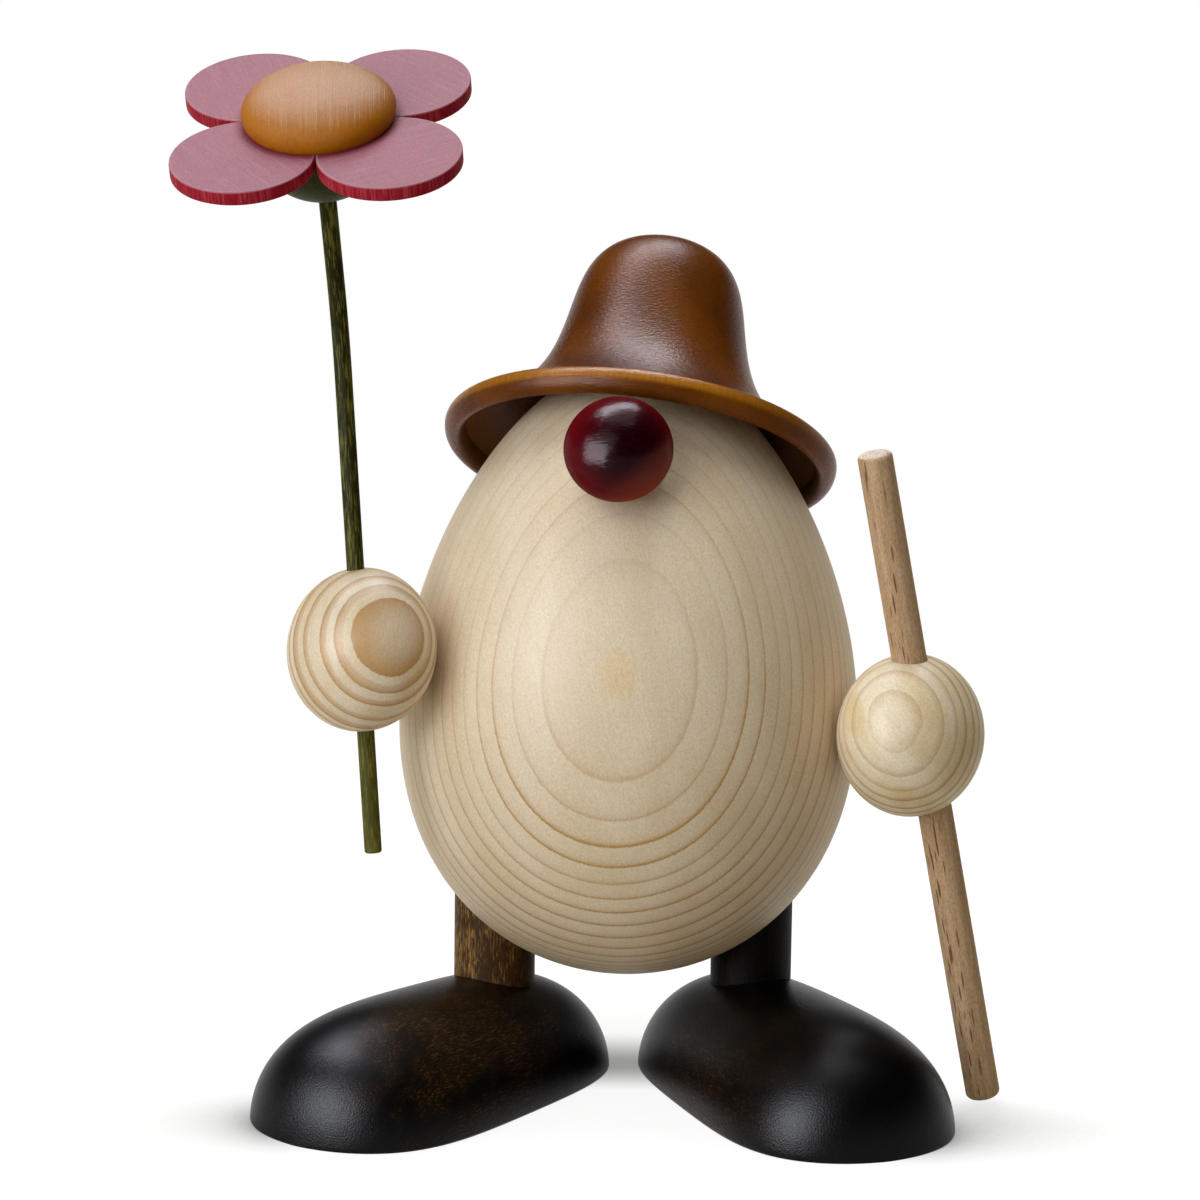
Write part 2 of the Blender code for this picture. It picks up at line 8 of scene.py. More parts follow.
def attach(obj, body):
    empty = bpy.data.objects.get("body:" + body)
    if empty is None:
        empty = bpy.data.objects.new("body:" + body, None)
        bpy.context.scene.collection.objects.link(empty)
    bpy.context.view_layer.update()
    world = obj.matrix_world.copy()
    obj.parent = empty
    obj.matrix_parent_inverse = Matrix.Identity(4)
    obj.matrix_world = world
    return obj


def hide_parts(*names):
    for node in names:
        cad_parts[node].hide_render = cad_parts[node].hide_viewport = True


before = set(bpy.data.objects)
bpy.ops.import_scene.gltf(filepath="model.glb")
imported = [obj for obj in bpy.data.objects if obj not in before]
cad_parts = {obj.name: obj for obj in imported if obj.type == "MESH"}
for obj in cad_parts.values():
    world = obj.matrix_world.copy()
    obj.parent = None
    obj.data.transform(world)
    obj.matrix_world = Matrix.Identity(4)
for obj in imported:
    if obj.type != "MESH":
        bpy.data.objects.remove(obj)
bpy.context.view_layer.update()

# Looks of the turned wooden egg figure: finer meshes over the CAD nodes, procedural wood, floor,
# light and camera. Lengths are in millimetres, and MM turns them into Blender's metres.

MM = 0.001
COLLECTION = bpy.context.scene.collection
X_AXIS, Y_AXIS, Z_AXIS = Vector((1, 0, 0)), Vector((0, 1, 0)), Vector((0, 0, 1))

# Camera, as fitted to the photograph
LENS, SENSOR = 126, 36
CAMERA_AT = (-0.26, -718.71, 214.76)
CAMERA_DOWN = 10.0235
CAMERA_ROLL = 0.8157

# Places: a point and the direction of the piece's own Z axis
EGG_AT, EGG_AXIS = (4.136, 9.206, 19.7), (0.019197, 0, 0.999816)
HAT_AT, HAT_AXIS = (6.5, 17.72, 111.951), (0.115355, 0.46793, 0.876205)
NOSE_AT, NOSE_AXIS = (2.462, -21.461, 117.346), (-0.081539, -0.802631, 0.590877)
RIGHT_HAND_AT, RIGHT_HAND_AXIS = (-41.026, -13.995, 81.057), (-0.876296, -0.440609, 0.194858)
LEFT_HAND_AT, LEFT_HAND_AXIS = (53.585, -12.501, 67.172), (0.912702, -0.408003, 0.022544)
STAFF_AT, STAFF_AXIS = (68.457, -5.563, 1.156), (-0.19321, -0.102559, 0.975783)
STEM_AT, STEM_AXIS = (-38.575, -16.138, 46.008), (-0.069627, 0.0609, 0.995712)

# Places given by a point, and turns in degrees
RIGHT_LEG_AT, LEFT_LEG_AT = (-18.164, 8.306, 0), (27.637, 10.106, 0)
RIGHT_FOOT_TURN, LEFT_FOOT_TURN = -125.1, -67.0
CALYX_AT, FLOWER_TIP_FORWARD, FLOWER_TIP_SIDE, FLOWER_SPIN = (-47.149, -26.441, 169.476), 24.8, -3.9, -2.9

# Sizes
EGG_HEIGHT, EGG_WIDTH, EGG_TAPER = 109.0, 79.6, 7.2
HAT_HEIGHT, HAT_CROWN, HAT_BRIM, HAT_BEAD = 39.2, 29.8, 69.8, 3.9
HAT_LIP, HAT_LIP_WIDTH, HAT_LIP_START = 2.85, 1.7, 0.3
HAT_SQUARENESS, HAT_ROUNDING, HAT_FLARE, HAT_FLARE_POWER = 7.3, 0.447, 9.05, 1.06
HAT_RISE, HAT_WALL, HAT_HOLLOW, HAT_HOLLOW_SQUARENESS = 3.4, 2.6, 15.5, 6.0
NOSE_WIDTH, NOSE_LENGTH = 18.5, 15.0
HAND_WIDTH, HAND_LENGTH = 28.1, 25.0
LEG_WIDTH, LEG_TOP, LEG_BOTTOM, LEG_ROUNDING = 14.4, 46.0, 6.0, 0.8
FOOT_LENGTH, FOOT_WIDTH, FOOT_HEIGHT, FOOT_SWELL = 78.3, 41.0, 19.4, 1.7
FOOT_FULLNESS, FOOT_EDGE, LEG_FROM_HEEL = 9.1, 0.6, 22.6
STAFF_WIDTH, STAFF_LENGTH, STAFF_ROUNDING = 6.0, 118.4, 1.0
STEM_WIDTH, STEM_CORNER, STEM_BEND = 3.0, 89.8, 9.0
CALYX_WIDTH, CALYX_DEPTH, STEM_IN_CALYX = 23.2, 11.2, 7.0
PETAL_WIDTH, PETAL_THICKNESS, PETAL_EDGE, PETAL_REACH, PETAL_SHIFT = 23.8, 2.5, 0.3, 11.95, 0.35
CENTRE_WIDTH, CENTRE_HEIGHT, CENTRE_FOOT = 25.5, 7.6, 1.6
PETAL_RAISE, CENTRE_RAISE = 0.3, 0.35

# Holes: the pegs' width, and where each one starts and ends along the axis of the piece that it is for
PEG_HOLE = 4.6
HAT_HOLE_IN_EGG, NOSE_HOLE_IN_EGG, HAND_HOLE_IN_EGG = (4.4, 20), (-16.1, -4.0), (-21.1, -10)
HAT_HOLE, NOSE_HOLE, HAND_HOLE = (5, 24.8), (-12, -1.28), (-18, -7.28)
STEM_BORE, STAFF_BORE, CALYX_HOLE_START = (10, 85), (10, 120), -20
BORE_ROOM = 0.2

# Fits: the gap round the legs, and how much closer to the egg the nose and the hands sit than in the CAD
SNUG = 0.06
SEATED = 0.22


# Places

def upright(at, axis):
    """A place with Z along the axis and X as near as can be to the world's X."""
    z = Vector(axis).normalized()
    x = (X_AXIS - z * X_AXIS.dot(z)).normalized()
    turned = Matrix((x, z.cross(x), z)).transposed().to_4x4()
    return Matrix.Translation(Vector(at) * MM) @ turned


def turned_about_z(degrees):
    return Matrix.Rotation(math.radians(degrees), 4, "Z")


def calyx_place():
    tipped = (Matrix.Rotation(math.radians(FLOWER_TIP_SIDE), 4, "Y")
              @ Matrix.Rotation(math.radians(FLOWER_TIP_FORWARD), 4, "X"))
    return Matrix.Translation(Vector(CALYX_AT) * MM) @ tipped


def moved(place, x=0, y=0, z=0):
    return place @ Matrix.Translation(Vector((x, y, z)) * MM)


# Outlines, each a list of (radius, height) from the top to the bottom

def arc(radius, height, size, start, end, steps):
    """Points of an arc about (radius, height), from one angle in degrees to another."""
    points = []
    for i in range(steps + 1):
        angle = math.radians(start + (end - start) * i / steps)
        points.append((radius + size * math.cos(angle), height + size * math.sin(angle)))
    return points


def egg_outline(steps=144):
    points = []
    for i in range(steps + 1):
        t = math.pi * i / steps
        radius = math.sin(t) * (EGG_WIDTH / 2 - EGG_TAPER * math.cos(t))
        points.append((radius, EGG_HEIGHT / 2 * (1 + math.cos(t))))
    return points


def ball_outline(width, length, steps=72):
    return [(width / 2 * math.sin(math.pi * i / steps), length / 2 * math.cos(math.pi * i / steps))
            for i in range(steps + 1)]


def hat_radius(height):
    crown = (1 - (height / HAT_HEIGHT) ** HAT_SQUARENESS) ** HAT_ROUNDING
    flare = HAT_BRIM / 2 - HAT_BEAD / 2 - HAT_CROWN / 2
    fall = math.exp(-((height / HAT_FLARE) ** HAT_FLARE_POWER))
    return (HAT_CROWN / 2 + flare * fall) * crown


def hat_outline(steps=64, bead_steps=14, hollow_steps=32):
    """Crown and flare, the bead, its deeper lip that rounds into the hollow, and the hollow."""
    points = []
    for i in range(steps + 1):
        height = HAT_RISE + (HAT_HEIGHT - HAT_RISE) * math.cos(math.pi / 2 * i / steps)
        points.append((hat_radius(height), height))
    middle, half = HAT_BRIM / 2 - HAT_BEAD / 2, HAT_BEAD / 2
    points += arc(middle, 0, half, 82, 0, bead_steps)
    quarter = [math.pi / 2 * i / bead_steps for i in range(1, bead_steps + 1)]
    points += [(middle + half * math.cos(t), -HAT_LIP * math.sin(t)) for t in quarter]
    points += [(middle - HAT_LIP_WIDTH * math.sin(t),
                HAT_LIP_START - (HAT_LIP + HAT_LIP_START) * math.cos(t)) for t in quarter]
    for i in range(4, hollow_steps + 1):
        height = HAT_HOLLOW * math.sin(math.pi / 2 * i / hollow_steps)
        closing = math.sqrt(max(0, 1 - (height / HAT_HOLLOW) ** HAT_HOLLOW_SQUARENESS))
        points.append(((hat_radius(height) - HAT_WALL) * closing, height))
    return points


def rod_outline(width, top, bottom, edge, steps=5, rings=24):
    """A rod with rounded ends, and with rings along it to carry the surface."""
    radius = width / 2
    points = [(0, top), (radius - 2 * edge, top)]
    points += arc(radius - edge, top - edge, edge, 90, 0, steps)
    low, high = bottom + edge, top - edge
    points += [(radius, high + (low - high) * i / rings) for i in range(1, rings)]
    points += arc(radius - edge, bottom + edge, edge, 0, -90, steps)
    return points + [(radius - 2 * edge, bottom), (0, bottom)]


def calyx_outline(steps=32):
    edge = [(0, 0), (CALYX_WIDTH / 2 - 0.6, 0), (CALYX_WIDTH / 2 - 0.2, -0.05)]
    return edge + [(CALYX_WIDTH / 2 * math.cos(math.pi / 2 * i / steps),
                    -CALYX_DEPTH * math.sin(math.pi / 2 * i / steps)) for i in range(1, steps + 1)]


def centre_outline(steps=40):
    rise = CENTRE_HEIGHT - CENTRE_FOOT
    start = math.asin(CENTRE_FOOT / rise)
    points = []
    for i in range(steps + 1):
        t = math.pi / 2 - (math.pi / 2 + start) * i / steps
        points.append((CENTRE_WIDTH / 2 * math.cos(t), CENTRE_FOOT + rise * math.sin(t)))
    return points + [(points[-1][0] - 0.6, 0), (0, 0)]


# Meshes

def finish_mesh(mesh, sharp):
    mesh.shade_smooth()
    mesh.set_sharp_from_angle(angle=math.radians(sharp))


def add_piece(name, points, faces, place, sharp=35):
    """An object at the origin, from points in millimetres in the axes of its place."""
    mesh = bpy.data.meshes.new(name)
    mesh.from_pydata([place @ (Vector(p) * MM) for p in points], [], faces)
    finish_mesh(mesh, sharp)
    item = bpy.data.objects.new(name, mesh)
    COLLECTION.objects.link(item)
    item["sharp"] = sharp
    return item


def turned_piece(name, outline, place, steps=160, sharp=35):
    """A piece turned about its own Z from an outline that starts and ends on the axis."""
    points, faces = [], []
    rings = outline[1:-1]
    around = [(math.cos(math.tau * j / steps), math.sin(math.tau * j / steps)) for j in range(steps)]
    for radius, height in rings:
        points += [(radius * x, radius * y, height) for x, y in around]
    top = len(points)
    points += [(0, 0, outline[0][1]), (0, 0, outline[-1][1])]
    last = steps * (len(rings) - 1)
    for j in range(steps):
        k = (j + 1) % steps
        faces += [(top, j, k), (top + 1, last + k, last + j)]
        faces += [(s + j, s + steps + j, s + steps + k, s + k) for s in range(0, last, steps)]
    return add_piece(name, points, faces, place, sharp)


def tube_piece(name, route, width, place, steps=40, edge=0.25):
    """A round rod along a route of points in its own axes, with slightly rounded ends.

    The attribute "unbent" keeps each point's place on the rod as it would be when straight.
    """
    radius = width / 2
    stations = [(route[0], 0, radius - 2 * edge), (route[0], 0, radius - edge)]
    length = 0
    for i, point in enumerate(route):
        if i:
            length += (Vector(point) - Vector(route[i - 1])).length
        stations.append((point, length, radius))
    stations += [(route[-1], length, radius - edge), (route[-1], length, radius - 2 * edge)]
    points, unbent, faces = [], [], []
    for i, (point, along, size) in enumerate(stations):
        before, after = stations[max(i - 3, 0)][0], stations[min(i + 3, len(stations) - 1)][0]
        ahead = (Vector(after) - Vector(before)).normalized()
        side = (X_AXIS - ahead * X_AXIS.dot(ahead)).normalized()
        other = ahead.cross(side)
        shift = edge if i == 2 else (-edge if i == len(stations) - 3 else 0)
        for j in range(steps):
            x, y = size * math.cos(math.tau * j / steps), size * math.sin(math.tau * j / steps)
            points.append(Vector(point) + ahead * shift + side * x + other * y)
            unbent.append((x, y, along + shift))
    for s in range(0, steps * (len(stations) - 1), steps):
        for j in range(steps):
            k = (j + 1) % steps
            faces.append((s + j, s + k, s + steps + k, s + steps + j))
    count = len(points)
    points += [Vector(stations[0][0]), Vector(stations[-1][0])]
    unbent += [(0, 0, 0), (0, 0, length)]
    for j in range(steps):
        k = (j + 1) % steps
        faces += [(count, k, j), (count + 1, count - steps + j, count - steps + k)]
    item = add_piece(name, points, faces, place)
    layer = item.data.attributes.new("unbent", "FLOAT_VECTOR", "POINT")
    for i, where in enumerate(unbent):
        layer.data[i].vector = where
    return item


def drill(piece, place, width, low, high, steps=96):
    """Cut a round hole along the Z axis of a place, from low to high."""
    shape = bmesh.new()
    bmesh.ops.create_cone(shape, cap_ends=True, segments=steps, radius1=width / 2 * MM,
                          radius2=width / 2 * MM, depth=(high - low) * MM)
    mesh = bpy.data.meshes.new("drill")
    shape.to_mesh(mesh)
    shape.free()
    cutter = bpy.data.objects.new("drill", mesh)
    COLLECTION.objects.link(cutter)
    cutter.matrix_world = moved(place, z=(low + high) / 2)
    cut = piece.modifiers.new("hole", "BOOLEAN")
    cut.operation, cut.solver, cut.object = "DIFFERENCE", "EXACT", cutter
    bpy.context.view_layer.update()
    solid = piece.evaluated_get(bpy.context.evaluated_depsgraph_get())
    piece.data = bpy.data.meshes.new_from_object(solid)
    piece.modifiers.clear()
    bpy.data.objects.remove(cutter)
    finish_mesh(piece.data, piece["sharp"])


def foot_section(t, steps=44):
    """Across the foot over its top, as (across, up) points that start and end on the sole."""
    c = math.cos(t)
    half = math.sin(t) * (FOOT_WIDTH / 2 - FOOT_SWELL * c + FOOT_FULLNESS * c * c)
    height = half * FOOT_HEIGHT / (FOOT_WIDTH / 2)
    edge = min(FOOT_EDGE, height / 4)
    start = math.asin(edge / height)
    points = [(2 * edge - half, 0), (1.2 * edge - half, 0), (0.55 * edge - half, edge * 0.14),
              (0.22 * edge - half, edge * 0.48)]
    for i in range(steps + 1):
        angle = start + (math.pi - 2 * start) * i / steps
        points.append((-half * math.cos(angle), height * math.sin(angle)))
    return points + [(half - 0.22 * edge, edge * 0.48), (half - 0.55 * edge, edge * 0.14),
                     (half - 1.2 * edge, 0), (half - 2 * edge, 0)]


def foot_piece(name, place, rings=72):
    """The half ovoid that a foot is, with X towards the toe and the leg's axis at the origin."""
    points, faces = [], []
    for i in range(1, rings):
        t = math.pi * i / rings
        along = FOOT_LENGTH / 2 * (1 - math.cos(t)) - LEG_FROM_HEEL
        section = foot_section(t)
        points += [(along, across, up) for across, up in section]
    count = len(section)
    heel = len(points)
    points += [(-LEG_FROM_HEEL, 0, 0), (FOOT_LENGTH - LEG_FROM_HEEL, 0, 0)]
    last = count * (rings - 2)
    for i in range(count):
        j = (i + 1) % count
        faces += [(heel, j, i), (heel + 1, last + i, last + j)]
        faces += [(s + i, s + j, s + count + j, s + count + i) for s in range(0, last, count)]
    return add_piece(name, points, faces, place)


# Materials

def colour(red, green, blue):
    """An sRGB colour, 0 to 255, as Blender's linear one."""
    def linear(value):
        value /= 255
        return value / 12.92 if value <= 0.04045 else ((value + 0.055) / 1.055) ** 2.4
    return (linear(red), linear(green), linear(blue), 1)


class Nodes:
    """Makes nodes in one tree. Inputs are numbers, colours or other nodes' outputs."""

    def __init__(self, tree, place=Matrix()):
        self.tree, self.place = tree, place

    def put(self, socket, value):
        if isinstance(value, bpy.types.NodeSocket):
            self.tree.links.new(value, socket)
        else:
            socket.default_value = value

    def node(self, kind, values, output=0, **settings):
        made = self.tree.nodes.new(kind)
        for key, value in settings.items():
            setattr(made, key, value)
        for key, value in values.items():
            self.put(made.inputs[key], value)
        return made.outputs[output]

    def math(self, operation, a, b=0.5, c=0.5, clamp=False):
        return self.node("ShaderNodeMath", {0: a, 1: b, 2: c}, operation=operation, use_clamp=clamp)

    def folded(self, operation, values):
        total = values[0]
        for value in values[1:]:
            total = self.math(operation, total, value)
        return total

    def add(self, *values):
        return self.folded("ADD", values)

    def times(self, *values):
        return self.folded("MULTIPLY", values)

    def largest(self, *values):
        return self.folded("MAXIMUM", values)

    def fade(self, value, low, high, start, end):
        """Start below low, end above high, smooth between them. High may be the smaller one."""
        return self.node("ShaderNodeMapRange", {0: value, 1: low, 2: high, 3: start, 4: end},
                         interpolation_type="SMOOTHSTEP")

    def step(self, value, low, high):
        return self.fade(value, low, high, 0.0, 1.0)

    def seen(self):
        """1 for the rays that show a surface, and 0 for those that only take its light."""
        path = self.tree.nodes.new("ShaderNodeLightPath").outputs
        return self.largest(path["Is Camera Ray"], path["Is Glossy Ray"], path["Is Transmission Ray"])

    def own_place(self, axes=None, centre=(0, 0, 0)):
        """Millimetres from a centre in the piece's place, along its axes or three world directions."""
        origin = self.place @ (Vector(centre) * MM) / MM
        where = self.node("ShaderNodeTexCoord", {}, "Object")
        where = self.node("ShaderNodeVectorMath", {0: where, "Scale": 1000}, operation="SCALE")
        where = self.minus(where, origin)
        return self.vector(*[self.dot(where, axis) for axis in axes or self.place.to_3x3().transposed()])

    def around(self, where, radius):
        """Place on a turned surface: round it in millimetres at a radius, up it, and out from its axis."""
        x, y = self.part(where, 0), self.part(where, 1)
        turn = self.math("ARCTAN2", x, self.times(y, -1.0))
        out = self.length(self.vector(x, y, 0.0))
        return self.vector(self.times(turn, radius), self.part(where, 2), out)

    def away(self, where, centre):
        """Distance from the Z axis through a centre."""
        x = self.math("SUBTRACT", self.part(where, 0), float(centre[0]))
        y = self.math("SUBTRACT", self.part(where, 1), float(centre[1]))
        return self.length(self.vector(x, y, 0.0))

    def unbent_place(self):
        return self.node("ShaderNodeAttribute", {}, "Vector", attribute_name="unbent")

    def length(self, where):
        return self.node("ShaderNodeVectorMath", {0: where}, "Value", operation="LENGTH")

    def minus(self, where, centre):
        return self.node("ShaderNodeVectorMath", {0: where, 1: tuple(centre)}, operation="SUBTRACT")

    def dot(self, where, direction):
        return self.node("ShaderNodeVectorMath", {0: where, 1: tuple(direction)}, "Value",
                         operation="DOT_PRODUCT")

    def vector(self, x, y, z):
        return self.node("ShaderNodeCombineXYZ", {0: x, 1: y, 2: z})

    def part(self, where, index):
        return self.node("ShaderNodeSeparateXYZ", {0: where}, index)

    def stretched(self, where, sizes):
        """Place divided by a size in millimetres along each axis."""
        return self.node("ShaderNodeVectorMath", {0: where, 1: tuple(1 / s for s in sizes)},
                         operation="MULTIPLY")

    def noise(self, where, sizes, detail=2.0, rough=0.5, twist=0.0):
        """Noise from about 0.3 to 0.7 with cells of the given sizes."""
        return self.node("ShaderNodeTexNoise", {"Vector": self.stretched(where, sizes), "Scale": 1.0,
                                                "Detail": detail, "Roughness": rough, "Distortion": twist})

    def flecks(self, where, sizes, size, softness=0.08):
        """1 inside scattered long spots, one for each cell, and 0 elsewhere."""
        spots = self.node("ShaderNodeTexVoronoi", {"Vector": self.stretched(where, sizes), "Scale": 1.0},
                          "Distance", feature="F1")
        return self.step(spots, size + softness, size - softness)

    def ramp(self, value, stops):
        """A grey that runs straight from one stop to the next, each stop a position and a grey."""
        made = self.tree.nodes.new("ShaderNodeValToRGB")
        elements = made.color_ramp.elements
        while len(elements) < len(stops):
            elements.new(0.5)
        for element, (position, grey) in zip(elements, stops):
            element.position = position
            element.color = (grey, grey, grey, 1)
        self.put(made.inputs[0], value)
        return made.outputs[0]

    def mix(self, factor, a, b, blend="MIX"):
        return self.node("ShaderNodeMix", {0: factor, 6: a, 7: b}, 2, data_type="RGBA", blend_type=blend)

    def tinted(self, tone, factor):
        """A colour made lighter or darker by a grey factor about 1."""
        return self.mix(1.0, tone, self.vector(factor, factor, factor), "MULTIPLY")

    def varied(self, value, middle, reach):
        """Noise turned into middle plus or minus about reach."""
        return self.math("MULTIPLY_ADD", value, reach * 5, middle - reach * 2.5)

    def bands(self, depth, edges, fullness):
        """Saw-tooth bands, each rising from its start to a sharp end at its strength.

        Fullness is the share of the strength that a band has near its start already.
        """
        total = 0.0
        for start, end, strength in edges:
            rise = self.node("ShaderNodeMapRange", {0: depth, 1: start, 2: end, 3: 0.0, 4: strength})
            if fullness:
                early = self.step(depth, start, start + (end - start) * 0.4)
                rise = self.largest(rise, self.times(early, strength * fullness))
            rise = self.times(rise, self.step(depth, end + 0.10, end - 0.02))
            total = self.largest(total, rise)
        return total

    def bump(self, height, depth):
        """Relief of the given depth in millimetres."""
        return self.node("ShaderNodeBump", {"Height": height, "Distance": depth * MM, "Strength": 1.0})


class Finish(Nodes):
    """One procedural material on the Principled shader, with its constant inputs set on the shader."""

    def __init__(self, name, place=Matrix(), roughness=0.45, coat=0.0, coat_roughness=0.2, level=0.5):
        self.material = bpy.data.materials.new(name)
        self.material.use_nodes = True
        super().__init__(self.material.node_tree, place)
        self.shader = self.tree.nodes["Principled BSDF"]
        self.shader.inputs["Roughness"].default_value = roughness
        self.shader.inputs["Coat Weight"].default_value = coat
        self.shader.inputs["Coat Roughness"].default_value = coat_roughness
        self.shader.inputs["Specular IOR Level"].default_value = level

    def done(self, tone, roughness=None, normal=None):
        self.put(self.shader.inputs["Base Color"], tone)
        if roughness is not None:
            self.put(self.shader.inputs["Roughness"], roughness)
        if normal is not None:
            self.put(self.shader.inputs["Normal"], normal)
        return self.material


def grain_axes(towards, twist):
    """Across the grain, into the depth and along the grain, as world directions.

    The depth runs away from the direction towards; twist turns the grain about it.
    """
    towards = Vector(towards).normalized()
    level = towards.cross(Z_AXIS).normalized()
    up = level.cross(towards)
    turn = math.radians(twist)
    across = level * math.cos(turn) + up * math.sin(turn)
    along = up * math.cos(turn) - level * math.sin(turn)
    return [across, -towards, along]


def ring_depth(finish, where, start, bend):
    """Depth in millimetres behind a piece's front, through rings that bend across the grain."""
    across = finish.part(where, 0)
    curved = finish.math("MULTIPLY_ADD", finish.times(across, across), bend / 2, finish.part(where, 1))
    ragged = finish.noise(where, (0.35, 0.35, 1.2), 1.0)
    return finish.add(curved, start, finish.varied(ragged, 0, 0.035))


EGG_PALE, EGG_PALE_LOW = colour(227, 212, 186), colour(220, 202, 171)
EGG_HEART, EGG_RING = colour(224, 196, 142), colour(188, 148, 92)
# The way to the heart of the trunk in the egg's own axes, the grain's twist, and the rings' depth and bend
EGG_TOWARDS, EGG_TWIST = (-0.055788, -0.976246, 0.209362), -12.4
EGG_DEPTH, EGG_BEND = 39.168, -0.000987
# The rings' mean width and first number, and the slow swing of their widths
RING_WIDTH, RING_START = 2.339, 0.4887
SWING, SWING_LENGTH, SWING_START = 0.416, 26.997, -0.3426


def egg_wood(place):
    """Pale softwood with growth rings that are nested arches in front, stronger and broader lower down."""
    finish = Finish("pale_wood", place, level=0.125)
    towards = place.to_3x3() @ Vector(EGG_TOWARDS)
    where = finish.own_place(grain_axes(towards, EGG_TWIST), (0, 0, EGG_HEIGHT / 2))
    depth = ring_depth(finish, where, EGG_DEPTH, EGG_BEND)
    swing = finish.math("COSINE", finish.math("MULTIPLY_ADD", depth, math.tau / SWING_LENGTH, SWING_START))
    index = finish.add(finish.math("MULTIPLY_ADD", depth, 1 / RING_WIDTH, RING_START),
                       finish.times(swing, -SWING),
                       finish.varied(finish.noise(where, (26, 26, 60), 1.0), 0, 0.05))
    ring = finish.math("FLOOR", index)
    rise = finish.ramp(finish.math("FRACT", index),
                       [(0, 0.06), (0.03, 0), (0.5, 0.03), (0.74, 0.13), (0.87, 0.35), (0.93, 0.85),
                        (0.955, 1.0), (0.985, 0.7), (1, 0.08)])
    broad = finish.ramp(finish.math("FRACT", index),
                        [(0, 0.15), (0.05, 0), (0.5, 0.02), (0.75, 0.18), (0.88, 0.55), (0.94, 1.0),
                         (1, 0.2)])
    height = finish.part(where, 2)
    rise = finish.mix(finish.step(height, -14, -44), rise, broad)
    wander = finish.node("ShaderNodeTexWhiteNoise", {"W": ring}, "Value", noise_dimensions="1D")
    strength = finish.add(finish.ramp(finish.math("DIVIDE", depth, 20),
                                      [(0, 0.25), (0.09, 0.35), (0.2, 0.45), (0.26, 0.6), (0.31, 1.0),
                                       (0.42, 0.8), (0.48, 0.6), (0.6, 0.6), (1, 0.7)]),
                          finish.times(wander, 0.25))
    low = finish.add(0.42, finish.times(finish.step(height, 16, -20), 0.75),
                     finish.times(finish.step(height, -18, -42), 0.45))
    dark = finish.times(rise, strength, low)
    heart = finish.step(finish.add(depth, finish.varied(finish.noise(where, (1.5, 1.5, 3), 2.0), 0, 0.03)),
                        0.15, 0.09)
    clouds = finish.noise(where, (9, 9, 34), 3.0)
    grit = finish.noise(where, (0.25, 0.25, 0.4), 2.0, 0.65)
    fibre = finish.noise(where, (0.4, 0.4, 6), 2.0, 0.6)
    pale = finish.mix(finish.step(clouds, 0.3, 0.7), EGG_PALE, EGG_PALE_LOW)
    pale = finish.mix(finish.times(heart, 0.5), pale, EGG_HEART)
    tone = finish.mix(finish.math("MULTIPLY", dark, 0.85, clamp=True), pale, EGG_RING)
    tone = finish.tinted(tone, finish.add(finish.varied(grit, 0.5, 0.12), finish.varied(fibre, 0.5, 0.03)))
    rough = finish.math("MULTIPLY_ADD", dark, -0.06, 0.46)
    return finish.done(tone, rough, finish.bump(grit, 0.05))


# The dark bands of the hands' rings by depth: start, end and strength
RIGHT_HAND_BANDS = [(-1.6, 1.66, 0.9), (2.3, 3.5, 0.85), (4.45, 5.6, 0.9),
                    (7.7, 9.0, 0.8), (10.3, 12.64, 0.95), (13.9, 15.1, 0.95), (16.6, 17.5, 0.8),
                    (18.9, 20.2, 0.9), (21.6, 22.6, 0.8), (24.0, 25.4, 0.9)]
LEFT_HAND_BANDS = [(0.3, 1.1, 0.35), (2.6, 3.6, 0.45), (5.2, 6.1, 0.45), (7.4, 8.3, 0.8),
                   (9.9, 10.8, 0.9), (12.2, 13.1, 1.0), (14.6, 15.4, 1.0), (17.0, 17.8, 1.0),
                   (19.5, 20.2, 1.0), (21.8, 22.6, 1.0), (24.3, 25.1, 1.0)]
# Each hand's grain: the way to the trunk's heart, twist, depth, bend, bands, their fullness, three colours
RIGHT_HAND_GRAIN = ((0.395658, -0.850185, 0.347332), 8.49, 14.03, -0.015788, RIGHT_HAND_BANDS, 0.5,
                    colour(233, 219, 197), colour(225, 206, 170), colour(188, 144, 84))
LEFT_HAND_GRAIN = ((-0.246904, -0.897784, 0.364721), 139.76, 14.02, 0.020378, LEFT_HAND_BANDS, 0,
                   colour(235, 222, 197), colour(221, 200, 157), colour(180, 142, 88))
# The spot in front, in the grain's axes, about which the bands are fainter
FAINT_SPOT = (-2.2, -13.5, 1.2)


